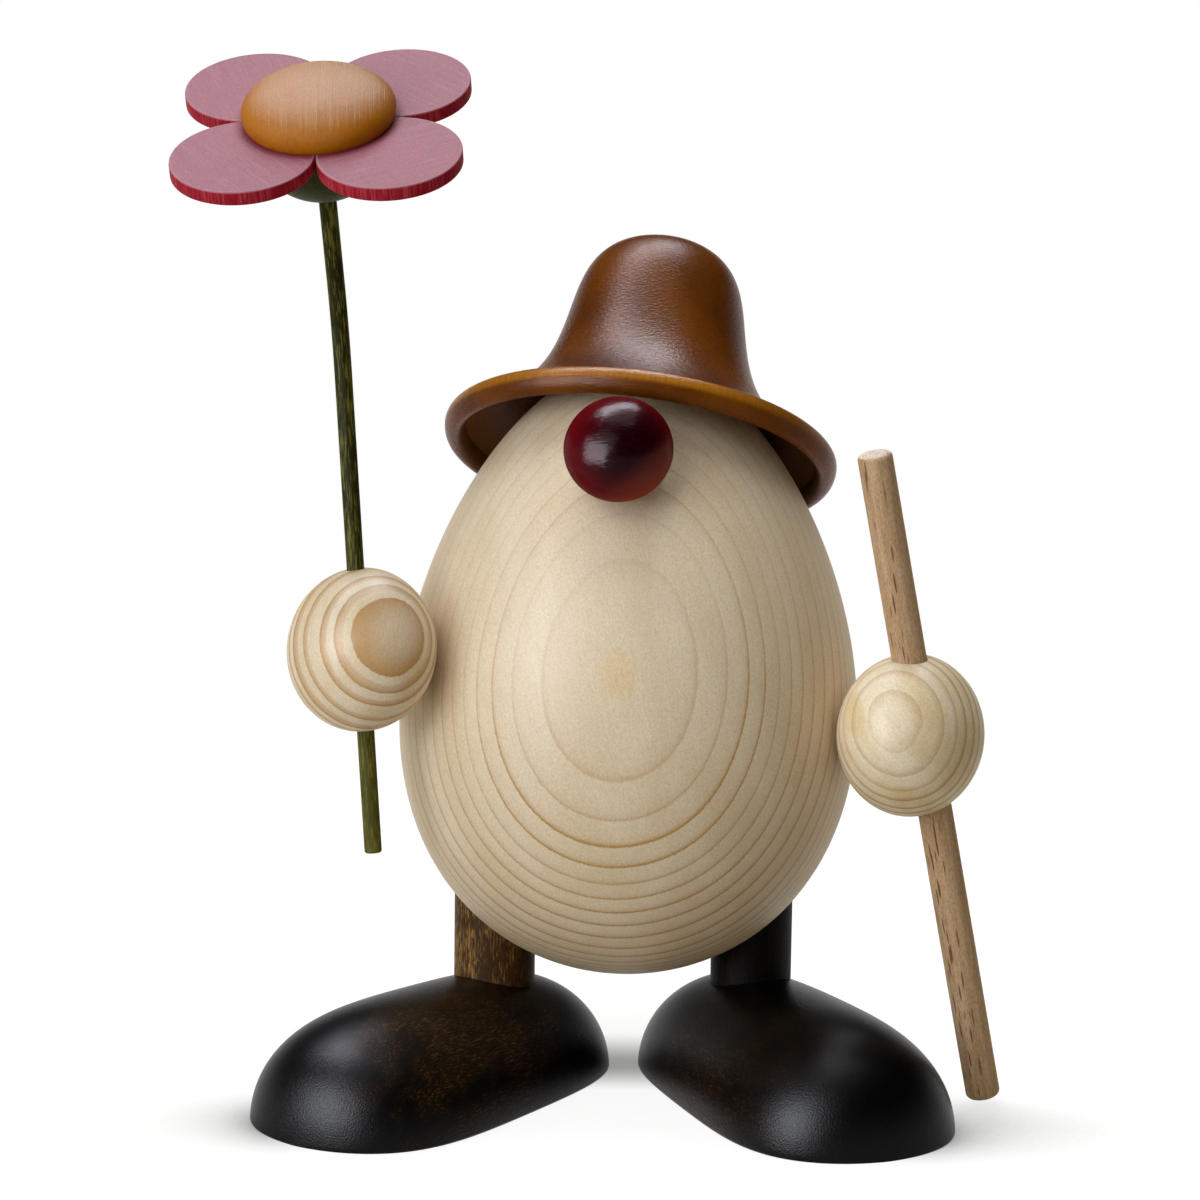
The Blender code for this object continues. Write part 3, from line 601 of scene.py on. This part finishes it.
def hand_wood(name, place, towards, twist, start, bend, bands, fullness, pale, cloudy, tan):
    """Pale softwood with tan rings, where the innermost band can make a whole disc in front."""
    finish = Finish(name, place, level=0.12)
    where = finish.own_place(grain_axes(towards, twist))
    depth = ring_depth(finish, where, start, bend)
    depth = finish.add(depth, finish.varied(finish.noise(where, (7, 7, 16), 2.0), 0, 0.12))
    dark = finish.bands(depth, bands, fullness)
    middle = finish.step(finish.length(finish.minus(where, FAINT_SPOT)), 6.5, 1.5)
    dark = finish.times(dark, finish.math("MULTIPLY_ADD", middle, -0.5, 1.0))
    clouds = finish.noise(where, (5, 5, 14), 3.0)
    grit = finish.noise(where, (0.25, 0.25, 0.4), 2.0, 0.65)
    fibre = finish.noise(where, (0.35, 0.35, 3), 2.0, 0.6)
    light = finish.mix(finish.step(clouds, 0.3, 0.7), pale, cloudy)
    tone = finish.mix(finish.math("MULTIPLY", dark, 1.08, clamp=True), light, tan)
    tone = finish.tinted(tone, finish.add(finish.varied(grit, 0.5, 0.11), finish.varied(fibre, 0.5, 0.04)))
    return finish.done(tone, finish.math("MULTIPLY_ADD", dark, -0.06, 0.46), finish.bump(grit, 0.03))


def staff_wood(place):
    """Raw beech with dark flecks, the longest of them on the side that faces ahead, and pale end grain."""
    finish = Finish("staff_wood", place, roughness=0.6, level=0.05)
    where = finish.own_place()
    streaks = finish.noise(where, (0.8, 0.8, 16), 3.0, 0.6)
    grit = finish.noise(where, (0.2, 0.2, 0.7), 3.0, 0.65)
    tone = finish.mix(finish.step(streaks, 0.3, 0.7), colour(202, 172, 138), colour(183, 152, 115))
    tone = finish.tinted(tone, finish.varied(grit, 1, 0.26))
    side = finish.math("ARCTAN2", finish.part(where, 1), finish.part(where, 0))
    facing = finish.step(finish.math("COSINE", finish.math("ADD", side, math.radians(118))), 0.55, 0.95)
    sparse = finish.step(finish.noise(where, (2.4, 2.4, 8), 1.0), 0.58, 0.66)
    long_marks = finish.times(finish.flecks(where, (0.66, 0.66, 7), 0.26, 0.05), facing)
    short_marks = finish.times(finish.flecks(where, (0.55, 0.55, 3.6), 0.24), sparse)
    marks = finish.largest(long_marks, finish.times(short_marks, 0.65))
    tone = finish.mix(finish.times(marks, 0.85), tone, colour(108, 66, 42))
    height = finish.part(where, 2)
    ends = finish.largest(finish.step(height, STAFF_LENGTH - 0.5, STAFF_LENGTH - 0.1),
                          finish.step(height, 0.5, 0.1))
    rings = finish.noise(where, (0.25, 1.6, 0.4), 2.0, 0.6)
    end_tone = finish.mix(finish.step(rings, 0.45, 0.7), colour(234, 220, 208), colour(196, 166, 140))
    tone = finish.mix(finish.times(ends, 0.85), tone, end_tone)
    return finish.done(tone, None, finish.bump(grit, 0.06))


def streaked(name, place, where_of, dark, light, sizes, share, roughness, relief, faded=None):
    """A stained rod: dark, with lighter streaks where the stain let go, fewer on a leg's left as painted
    shade.

    faded is the height below which the stain is paler, or nothing.
    """
    finish = Finish(name, place, roughness=roughness, level=0.04)
    where = where_of(finish)
    streaks = finish.noise(where, sizes, 3.0, 0.62, 0.4)
    patches = finish.noise(where, (3.5, 3.5, 9), 2.0)
    amount = finish.step(finish.add(streaks, finish.varied(patches, 0, 0.1)), 0.46, 0.46 + share)
    # Painted shade: most light streaks are taken away on the +X side, a leg's own left, which lies in shade
    left = finish.step(finish.part(where, 0), 1.5, 5.5)
    amount = finish.times(amount, finish.math("MULTIPLY_ADD", left, -0.8, 1.0))
    fibre = finish.noise(where, (0.2, 0.2, 1.2), 2.0, 0.6)
    if faded:
        low = finish.step(finish.part(where, 2), faded, faded * 0.4)
        amount = finish.math("MULTIPLY_ADD", low, 0.45, amount, clamp=True)
    tone = finish.tinted(finish.mix(amount, dark, light), finish.varied(fibre, 1, 0.2))
    return finish.done(tone, None, finish.bump(fibre, relief))


def foot_stain(name, place, patch, share):
    """Near-black stain, worn through to short brown dashes around a patch of the foot."""
    finish = Finish(name, place, level=0.088)
    where = finish.own_place()
    away = finish.length(finish.stretched(finish.minus(where, patch), (1.5, 1.1, 1.0)))
    worn = finish.step(finish.add(away, finish.varied(finish.noise(where, (7, 5, 5), 2.0), 0, 6)), 21, 2)
    worn = finish.times(worn, share)
    fibre = finish.noise(where, (1.5, 0.24, 0.24), 3.0, 0.7, 0.3)
    dashes = finish.times(finish.step(fibre, 0.5, 0.68), worn)
    base = finish.mix(worn, colour(4, 3, 3), colour(27, 16, 6))
    tone = finish.mix(dashes, base, colour(100, 70, 28))
    skin = finish.noise(where, (0.32, 0.27, 0.27), 2.0, 0.55)
    return finish.done(tone, finish.varied(skin, 0.315, 0.03), finish.bump(skin, 0.075))


def hat_stain(place):
    """Amber brown, redder and darker on the flare, and golden along the rim, least on the left."""
    finish = Finish("hat_stain", place, level=0.063)
    where = finish.own_place()
    turned = finish.around(where, 15.0)
    height, radius = finish.part(where, 2), finish.part(turned, 2)
    clouds = finish.noise(where, (12, 12, 16), 3.0, 0.55)
    tone = finish.mix(finish.step(clouds, 0.32, 0.68), colour(92, 46, 2), colour(114, 61, 4))
    flare = finish.times(finish.step(radius, 17, 27), finish.step(height, 0, 2))
    tone = finish.mix(finish.times(flare, 0.7), tone, colour(84, 42, 24))
    fibre = finish.noise(where, (0.5, 0.5, 2.4), 3.0, 0.6)
    tone = finish.tinted(tone, finish.varied(fibre, 1, 0.08))
    rim = finish.times(finish.step(radius, 33.2, 34.0), finish.step(height, -1.0, 0.1),
                       finish.step(height, 1.8, 1.2))
    rays = finish.noise(turned, (0.25, 6, 6), 2.0)
    gold = finish.tinted(colour(176, 114, 26), finish.varied(rays, 1, 0.18))
    worn = finish.step(finish.dot(finish.own_place((X_AXIS, Y_AXIS, Z_AXIS)), (1, 0, 0)), 32, 6)
    tone = finish.mix(finish.times(rim, finish.math("MULTIPLY_ADD", worn, 0.5, 0.35)), tone, gold)
    inside = finish.times(finish.step(radius, 32.6, 31.0), finish.step(height, 4.4, 0.6))
    turning = finish.noise(finish.vector(radius, 0.0, 0.0), (0.5, 1, 1), 2.0, 0.6)
    hollow = finish.tinted(colour(96, 60, 18), finish.varied(turning, 1, 0.12))
    tone = finish.mix(finish.times(inside, 0.9), tone, hollow)
    skin = finish.noise(turned, (0.62, 0.34, 0.5), 3.0, 0.6, 0.3)
    off_pole = finish.step(radius, 1.0, 5.0)
    skin = finish.math("MULTIPLY_ADD", finish.math("SUBTRACT", skin, 0.5), off_pole, 0.5)
    rough = finish.math("MULTIPLY_ADD", inside, 0.5, finish.varied(skin, 0.285, 0.03))
    return finish.done(tone, rough, finish.bump(skin, 0.11))


def nose_lacquer(place):
    """Burgundy, nearly black in front, with painted red rim light round the sides and painted rusty light,
    reflected from the pale body, low on the figure's own left.
    """
    finish = Finish("nose_lacquer", place, roughness=0.5, coat=0.142, coat_roughness=0.20, level=0.0)
    where = finish.own_place()
    upright_place = finish.own_place((X_AXIS, Y_AXIS, Z_AXIS))
    # Painted reflected light: a rusty glow low on the figure's own left, standing in for the pale body's
    # light
    low = finish.step(finish.dot(upright_place, (0.66, 0.05, -0.75)), 1.6, 9.6)
    grain = finish.noise(where, (3.0, 0.5, 0.5), 3.0, 0.6)
    tone = finish.mix(finish.step(grain, 0.3, 0.7), colour(20, 0, 3), colour(34, 0, 7))
    # Painted rim light: redder round the sides than in front
    side = finish.step(finish.dot(upright_place, (0.16, -0.93, 0.32)), 7.8, 1.5)
    tone = finish.mix(finish.times(side, 0.9), tone, colour(98, 8, 18))
    tone = finish.mix(low, tone, colour(142, 58, 40))
    skin = finish.noise(where, (1.5, 0.45, 0.5), 2.0, 0.5, 0.4)
    bumped = finish.bump(skin, 0.05)
    finish.put(finish.shader.inputs["Coat Normal"], bumped)
    return finish.done(tone, None, bumped)


def petal_stain_and_painted_light(name, place, middle):
    """Stain on a thin disc: crimson on the side, and dusty pink on top, partly a painted whitish sheen.

    Painted crimson shade lies round the flower's middle, and a painted highlight along the top edge.
    Fine parallel saw lines run along Y, and dark pores are scattered on top.
    """
    finish = Finish(name, place, roughness=0.6, level=0.05)
    where = finish.own_place()
    lines = finish.noise(where, (0.16, 14, 30), 2.0, 0.65)
    grit = finish.noise(where, (0.24, 0.4, 0.4), 2.0, 0.7)
    pores = finish.flecks(where, (0.42, 0.5, 2.0), 0.2, 0.08)
    top = finish.step(finish.part(where, 2), PETAL_THICKNESS - 0.12, PETAL_THICKNESS - 0.02)
    # The top's dusty pink is partly the stain and partly a painted whitish sheen
    face = finish.mix(finish.step(lines, 0.5, 0.74), colour(156, 101, 113), colour(172, 122, 134))
    face = finish.tinted(face, finish.varied(grit, 1, 0.2))
    face = finish.mix(finish.times(finish.step(grit, 0.5, 0.66), 0.6), face, colour(128, 50, 70))
    face = finish.mix(finish.times(pores, 0.6), face, colour(124, 40, 60))
    # Painted shade: crimson round the foot of the flower's middle
    shade = finish.step(finish.away(where, middle), CENTRE_WIDTH / 2 + 1.8, CENTRE_WIDTH / 2 - 0.3)
    face = finish.mix(finish.times(shade, 0.8), face, colour(112, 10, 34))
    streaks = finish.noise(where, (0.4, 0.4, 6), 2.0, 0.6)
    side = finish.mix(finish.step(streaks, 0.4, 0.72), colour(144, 12, 33), colour(172, 56, 70))
    # Painted highlight: a thin pale line along the disc's top edge
    out = finish.away(where, (0, 0, 0))
    edge = finish.times(finish.step(out, PETAL_WIDTH / 2 - 0.4, PETAL_WIDTH / 2 - 0.2),
                        finish.step(finish.part(where, 2), PETAL_THICKNESS - 0.35, PETAL_THICKNESS - 0.12))
    tone = finish.mix(finish.times(edge, 0.45), finish.mix(top, side, face), colour(190, 146, 158))
    return finish.done(tone, None, finish.bump(grit, 0.05))


def centre_stain(place):
    """Ochre button, paler on top, partly as a painted sheen, with fine light grain lines across it."""
    finish = Finish("centre_stain", place, roughness=0.5, level=0.06)
    where = finish.own_place()
    lines = finish.noise(where, (0.12, 22, 30), 2.0, 0.65)
    height = finish.part(where, 2)
    # Paler on top: partly the stain and partly a painted sheen of the light from above
    tone = finish.mix(finish.step(height, 3.6, 6.7), colour(170, 104, 8), colour(182, 136, 99))
    tone = finish.mix(finish.times(finish.step(lines, 0.52, 0.66), finish.step(height, 3.0, 5.2)),
                      tone, colour(190, 150, 112))
    grit = finish.noise(where, (0.25, 0.5, 0.35), 2.0, 0.6)
    tone = finish.tinted(tone, finish.varied(grit, 1, 0.1))
    return finish.done(tone, None, finish.bump(finish.add(grit, finish.times(lines, 0.8)), 0.13))


def calyx_stain(place):
    finish = Finish("calyx_stain", place, roughness=0.5, level=0.06)
    where = finish.own_place()
    fibre = finish.noise(where, (0.4, 2.5, 0.4), 3.0, 0.6)
    low = finish.step(finish.part(where, 2), -6, -11)
    tone = finish.mix(finish.step(fibre, 0.35, 0.7), colour(38, 42, 10), colour(56, 60, 18))
    tone = finish.mix(finish.times(low, 0.5), tone, colour(72, 78, 52))
    return finish.done(tone, None, finish.bump(fibre, 0.02))


def peg_wood():
    finish = Finish("peg_wood", roughness=0.6)
    where = finish.own_place()
    fibre = finish.noise(where, (0.4, 0.4, 0.4), 3.0, 0.6)
    tone = finish.mix(finish.step(fibre, 0.35, 0.7), colour(190, 152, 112), colour(164, 124, 86))
    return finish.done(tone, None, finish.bump(fibre, 0.02))


# Pieces

def dress(piece, material, body, node):
    """Give a piece its material, attach it to its body, and hide the CAD node that it stands for."""
    piece.data.materials.clear()
    piece.data.materials.append(material)
    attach(piece, body)
    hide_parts(node)


def make_body():
    place = upright(EGG_AT, EGG_AXIS)
    egg = turned_piece("body_egg", egg_outline(), place, steps=200, sharp=50)
    for at in (RIGHT_LEG_AT, LEFT_LEG_AT):
        drill(egg, Matrix.Translation(Vector(at) * MM), LEG_WIDTH + 2 * SNUG, 0, LEG_TOP + SNUG)
    for at, axis, hole in ((HAT_AT, HAT_AXIS, HAT_HOLE_IN_EGG), (NOSE_AT, NOSE_AXIS, NOSE_HOLE_IN_EGG),
                           (RIGHT_HAND_AT, RIGHT_HAND_AXIS, HAND_HOLE_IN_EGG),
                           (LEFT_HAND_AT, LEFT_HAND_AXIS, HAND_HOLE_IN_EGG)):
        drill(egg, upright(at, axis), PEG_HOLE, *hole, steps=48)
    dress(egg, egg_wood(place), "body", "egg_body")


def make_leg(side, at, foot_turn, dark, light, patch, worn):
    """A leg in a stain of two colours, and its foot, worn by the given share about a patch."""
    axis, body = Matrix.Translation(Vector(at) * MM), side + "_leg"
    outline = rod_outline(LEG_WIDTH, LEG_TOP, LEG_BOTTOM, LEG_ROUNDING)
    leg = turned_piece(body + "_dowel", outline, axis, steps=96)
    # The leg's stain material also holds painted shade on the leg's own left side
    stain = streaked(body + "_stain", axis, Finish.own_place, dark, light, (0.27, 0.27, 2.0), share=0.38,
                     roughness=0.5, relief=0.07)
    dress(leg, stain, body, body)
    place = axis @ turned_about_z(foot_turn)
    foot = foot_piece(side + "_shoe", place)
    drill(foot, axis, LEG_WIDTH + 2 * SNUG, LEG_BOTTOM - SNUG, LEG_TOP)
    dress(foot, foot_stain(side + "_foot_stain", place, patch, worn), body, side + "_foot")


def make_legs():
    make_leg("right", RIGHT_LEG_AT, RIGHT_FOOT_TURN, colour(58, 37, 13), colour(184, 140, 78),
             patch=(24, 9, 14), worn=1.0)
    # The figure's left leg gets darker colours for the same stain, as painted shade
    make_leg("left", LEFT_LEG_AT, LEFT_FOOT_TURN, colour(8, 5, 3), colour(40, 28, 16),
             patch=(22, -16, 4), worn=0.4)


def make_hat():
    place = upright(HAT_AT, HAT_AXIS)
    hat = turned_piece("bell_hat", hat_outline(), place, steps=200, sharp=60)
    drill(hat, place, PEG_HOLE, *HAT_HOLE, steps=48)
    dress(hat, hat_stain(place), "hat", "hat")


def make_nose():
    place = moved(upright(NOSE_AT, NOSE_AXIS), z=-SEATED)
    nose = turned_piece("ball_nose", ball_outline(NOSE_WIDTH, NOSE_LENGTH), place, steps=128, sharp=50)
    drill(nose, place, PEG_HOLE, *NOSE_HOLE, steps=48)
    dress(nose, nose_lacquer(place), "body", "nose")


def make_hand(side, at, axis, bore_place, bore_width, bore, grain):
    """A ball hand with the bore of the rod that it holds."""
    place, name = moved(upright(at, axis), z=-SEATED), side + "_hand"
    outline = ball_outline(HAND_WIDTH, HAND_LENGTH)
    hand = turned_piece(side + "_ball_hand", outline, place, steps=144, sharp=50)
    drill(hand, bore_place, bore_width, *bore, steps=64)
    drill(hand, place, PEG_HOLE, *HAND_HOLE, steps=48)
    dress(hand, hand_wood(name + "_wood", place, *grain), name, name)


def make_hands():
    make_hand("right", RIGHT_HAND_AT, RIGHT_HAND_AXIS, upright(STEM_AT, STEM_AXIS), STEM_WIDTH + BORE_ROOM,
              STEM_BORE, RIGHT_HAND_GRAIN)
    make_hand("left", LEFT_HAND_AT, LEFT_HAND_AXIS, upright(STAFF_AT, STAFF_AXIS), STAFF_WIDTH + BORE_ROOM,
              STAFF_BORE, LEFT_HAND_GRAIN)


def make_staff():
    place = upright(STAFF_AT, STAFF_AXIS)
    outline = rod_outline(STAFF_WIDTH, STAFF_LENGTH, 0, STAFF_ROUNDING, steps=8, rings=60)
    staff = turned_piece("walking_staff", outline, place, steps=72, sharp=50)
    dress(staff, staff_wood(place), "staff", "staff")


def stem_route(place):
    """The stem's middle line in its own axes: straight, a smooth bend, straight into the calyx."""
    end = place.inverted() @ (calyx_place() @ (Vector((0, 0, STEM_IN_CALYX - CALYX_DEPTH)) * MM)) / MM
    corner = Vector((0, 0, STEM_CORNER))
    out = (end - corner).normalized()
    first, last = corner - Z_AXIS * STEM_BEND, corner + out * STEM_BEND
    straight_steps, bend_steps, end_steps = 30, 16, 8
    route = [Vector((0, 0, first.z * i / straight_steps)) for i in range(straight_steps)]
    for f in [i / bend_steps for i in range(bend_steps + 1)]:
        route.append(first * (1 - f) ** 2 + corner * 2 * f * (1 - f) + last * f * f)
    return route + [last.lerp(end, i / end_steps) for i in range(1, end_steps + 1)]


def make_flower():
    place = upright(STEM_AT, STEM_AXIS)
    stem = tube_piece("stem_dowel", stem_route(place), STEM_WIDTH, place)
    stain = streaked("stem_stain", place, Finish.unbent_place, colour(35, 35, 6), colour(106, 104, 42),
                     (0.3, 0.3, 4), share=0.2, roughness=0.55, relief=0.05, faded=34)
    dress(stem, stain, "flower", "flower_stem")
    middle = calyx_place()
    calyx = turned_piece("calyx_half_ball", calyx_outline(), middle, steps=128)
    hole_end = STEM_IN_CALYX - CALYX_DEPTH + BORE_ROOM / 2
    drill(calyx, middle, STEM_WIDTH + BORE_ROOM, CALYX_HOLE_START, hole_end, steps=48)
    dress(calyx, calyx_stain(middle), "flower", "calyx")
    spun = middle @ turned_about_z(FLOWER_SPIN)
    outline = rod_outline(PETAL_WIDTH, PETAL_THICKNESS, 0, PETAL_EDGE, steps=4, rings=2)
    for name, x, y, grain in (("front_right", -1, -1, 38), ("front_left", 1, -1, -64),
                              ("back_right", -1, 1, 20), ("back_left", 1, 1, 47)):
        where = (moved(spun, x * PETAL_REACH + PETAL_SHIFT, y * PETAL_REACH, PETAL_RAISE)
                 @ turned_about_z(grain))
        petal = turned_piece("disc_" + name, outline, where, steps=144)
        centre = where.inverted() @ middle.translation / MM
        stain = petal_stain_and_painted_light("petal_stain_and_painted_light_" + name, where, centre)
        dress(petal, stain, "flower", "petal_" + name)
    where = moved(middle, z=PETAL_THICKNESS + CENTRE_RAISE)
    centre = turned_piece("button_centre", centre_outline(), where, steps=160)
    dress(centre, centre_stain(where), "flower", "flower_centre")


def finish_pegs():
    """The pegs stay as the CAD's own nodes, which only get a material."""
    material = peg_wood()
    for name in ("hat_peg", "nose_peg", "right_hand_peg", "left_hand_peg"):
        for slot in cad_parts[name].material_slots:
            slot.link = "OBJECT"
            slot.material = material


# Floor, light and camera

WHITE = (1, 1, 1, 1)
# The floor's grey where it lights the figure and where it is seen, the glow that it is seen with, its size
# in metres, and the reach of its contact shadows in metres
FLOOR_GREY, FLOOR_SEEN, FLOOR_GLOW, FLOOR_RADIUS, CONTACT_REACH = 0.55, 0.12, 0.97, 60, 0.04
FLOOR_WARMTH = (1, 0.92, 0.76, 1)


def make_floor():
    """A pale floor that takes soft shadows near the figure, with painted contact shadows in its glow, and
    is plain white far from it.
    """
    shape = bmesh.new()
    bmesh.ops.create_circle(shape, cap_ends=True, segments=128, radius=FLOOR_RADIUS)
    mesh = bpy.data.meshes.new("floor")
    shape.to_mesh(mesh)
    shape.free()
    floor = bpy.data.objects.new("floor", mesh)
    COLLECTION.objects.link(floor)
    finish = Finish("floor")
    seen, where = finish.seen(), finish.own_place()
    far = finish.step(finish.length(where), 170, 420)
    openness = finish.node("ShaderNodeAmbientOcclusion", {"Distance": CONTACT_REACH}, "AO", samples=8)
    lit = finish.math("MULTIPLY_ADD", seen, FLOOR_SEEN - FLOOR_GREY, FLOOR_GREY)
    tint = finish.mix(seen, FLOOR_WARMTH, WHITE)
    diffuse = finish.node("ShaderNodeBsdfDiffuse", {"Color": finish.tinted(tint, lit)})
    dark = finish.ramp(openness, [(0, 0.72), (0.4, 0.68), (0.7, 0.59), (0.84, 0.39), (0.93, 0.12),
                                  (0.98, 0)])
    # Painted contact shadows, from ambient occlusion, are full beside the feet and behind the gap between
    # them, and faint elsewhere
    x, y = finish.math("ABSOLUTE", finish.part(where, 0)), finish.part(where, 1)
    beside = finish.times(finish.step(x, 42, 58), finish.step(y, -50, -26), finish.step(y, 2, -24))
    behind = finish.times(finish.step(y, -6, 14), finish.step(y, 40, 16), finish.step(x, 34, 16))
    share = finish.largest(beside, behind, 0.1)
    shade = finish.math("SUBTRACT", 1.0, finish.times(dark, share))
    strength = finish.times(seen, shade, FLOOR_GLOW)
    glow = finish.node("ShaderNodeEmission", {"Color": WHITE, "Strength": strength})
    near = finish.node("ShaderNodeAddShader", {0: diffuse, 1: glow})
    white = finish.node("ShaderNodeEmission", {"Color": WHITE, "Strength": 1.0})
    shown = finish.node("ShaderNodeMixShader", {0: finish.times(seen, far), 1: near, 2: white})
    finish.tree.nodes.remove(finish.shader)
    finish.put(finish.tree.nodes["Material Output"].inputs["Surface"], shown)
    mesh.materials.append(finish.material)


# The light's colour, and how the light and the backdrop fade with height, from level to level
WORLD_TINT, WORLD_FADE, BACKDROP_FADE = (1, 0.92, 0.80, 1), (-0.1, 1.0, 0.02, 0.12), (0.12, 0.20, 1.0, 0.03)


def make_world():
    """Soft light from above, and a backdrop that is white at the horizon and grey overhead."""
    world = bpy.data.worlds.new("studio")
    world.use_nodes = True
    nodes = Nodes(world.node_tree)
    height = nodes.part(nodes.node("ShaderNodeTexCoord", {}, "Generated"), 2)
    shown = world.node_tree.nodes["Background"]
    nodes.put(shown.inputs["Color"], WHITE)
    nodes.put(shown.inputs["Strength"], nodes.fade(height, *BACKDROP_FADE))
    light = nodes.node("ShaderNodeBackground", {"Color": WORLD_TINT,
                                                "Strength": nodes.fade(height, *WORLD_FADE)})
    both = nodes.node("ShaderNodeMixShader", {0: nodes.seen(), 1: light, 2: shown.outputs[0]})
    nodes.put(world.node_tree.nodes["World Output"].inputs["Surface"], both)
    bpy.context.scene.world = world


# Where the lamps aim, and the directions towards them
LIT_POINT = (0, 0, 80)
TOP_GLOSS, FRONT_GLOSS = (-0.17, 0.30, 0.93), (-0.70, -0.655, 0.28)
KEY_HIGH, KEY_LOW = (-0.458, -0.654, 0.602), (-0.70, -0.70, 0.14)
BACK_TOP, LEFT_RIM, RIGHT_RIM = (0, 0.766, 0.643), (-0.70, 0.70, 0.14), (0.70, 0.70, 0.14)
NEUTRAL, COOL, FAINTLY_COOL, WARM = (1, 1, 1), (0.94, 0.97, 1.08), (0.98, 1, 1.03), (1, 0.9, 0.68)


def add_softbox(name, towards, distance, width, height, radiance, tint=NEUTRAL, glossy=True, diffuse=True):
    """A rectangular lamp that faces the figure and has the given brightness, in millimetres."""
    lamp = bpy.data.lights.new(name, "AREA")
    lamp.shape = "RECTANGLE"
    lamp.size, lamp.size_y = width * MM, height * MM
    lamp.energy = radiance * math.pi * lamp.size * lamp.size_y
    lamp.color = tint
    item = bpy.data.objects.new(name, lamp)
    COLLECTION.objects.link(item)
    towards = Vector(towards).normalized()
    item.location = (Vector(LIT_POINT) + towards * distance) * MM
    item.rotation_euler = towards.to_track_quat("Z", "Y").to_euler()
    item.visible_glossy, item.visible_diffuse = glossy, diffuse


def make_lights():
    """Soft lamps for the light itself, two strong ones for gloss alone, and rims for the far sides."""
    add_softbox("key_high", KEY_HIGH, 900, 600, 600, 2.85)
    add_softbox("key_low", KEY_LOW, 900, 600, 300, 4.3, FAINTLY_COOL)
    add_softbox("zenith", Z_AXIS, 900, 600, 600, 3.55)
    add_softbox("back_top", BACK_TOP, 900, 600, 600, 1.9, WARM, glossy=False)
    add_softbox("top_gloss", TOP_GLOSS, 900, 1000, 280, 39.0, COOL, diffuse=False)
    add_softbox("front_gloss", FRONT_GLOSS, 850, 640, 560, 23.0, COOL, diffuse=False)
    add_softbox("left_rim", LEFT_RIM, 900, 600, 300, 1.4, WARM, glossy=False)
    add_softbox("right_rim", RIGHT_RIM, 900, 600, 300, 1.35, WARM, glossy=False)


def make_camera():
    data = bpy.data.cameras.new("camera")
    data.lens, data.sensor_width = LENS, SENSOR
    data.clip_start, data.clip_end = 0.01, 100
    camera = bpy.data.objects.new("camera", data)
    COLLECTION.objects.link(camera)
    camera.matrix_world = (Matrix.Translation(Vector(CAMERA_AT) * MM)
                           @ Matrix.Rotation(math.radians(90 - CAMERA_DOWN), 4, "X")
                           @ Matrix.Rotation(math.radians(CAMERA_ROLL), 4, "Z"))
    bpy.context.scene.camera = camera


make_body()
make_legs()
make_hat()
make_nose()
make_hands()
make_staff()
make_flower()
finish_pegs()
make_floor()
make_world()
make_lights()
make_camera()
bpy.context.scene.view_settings.view_transform = "Standard"
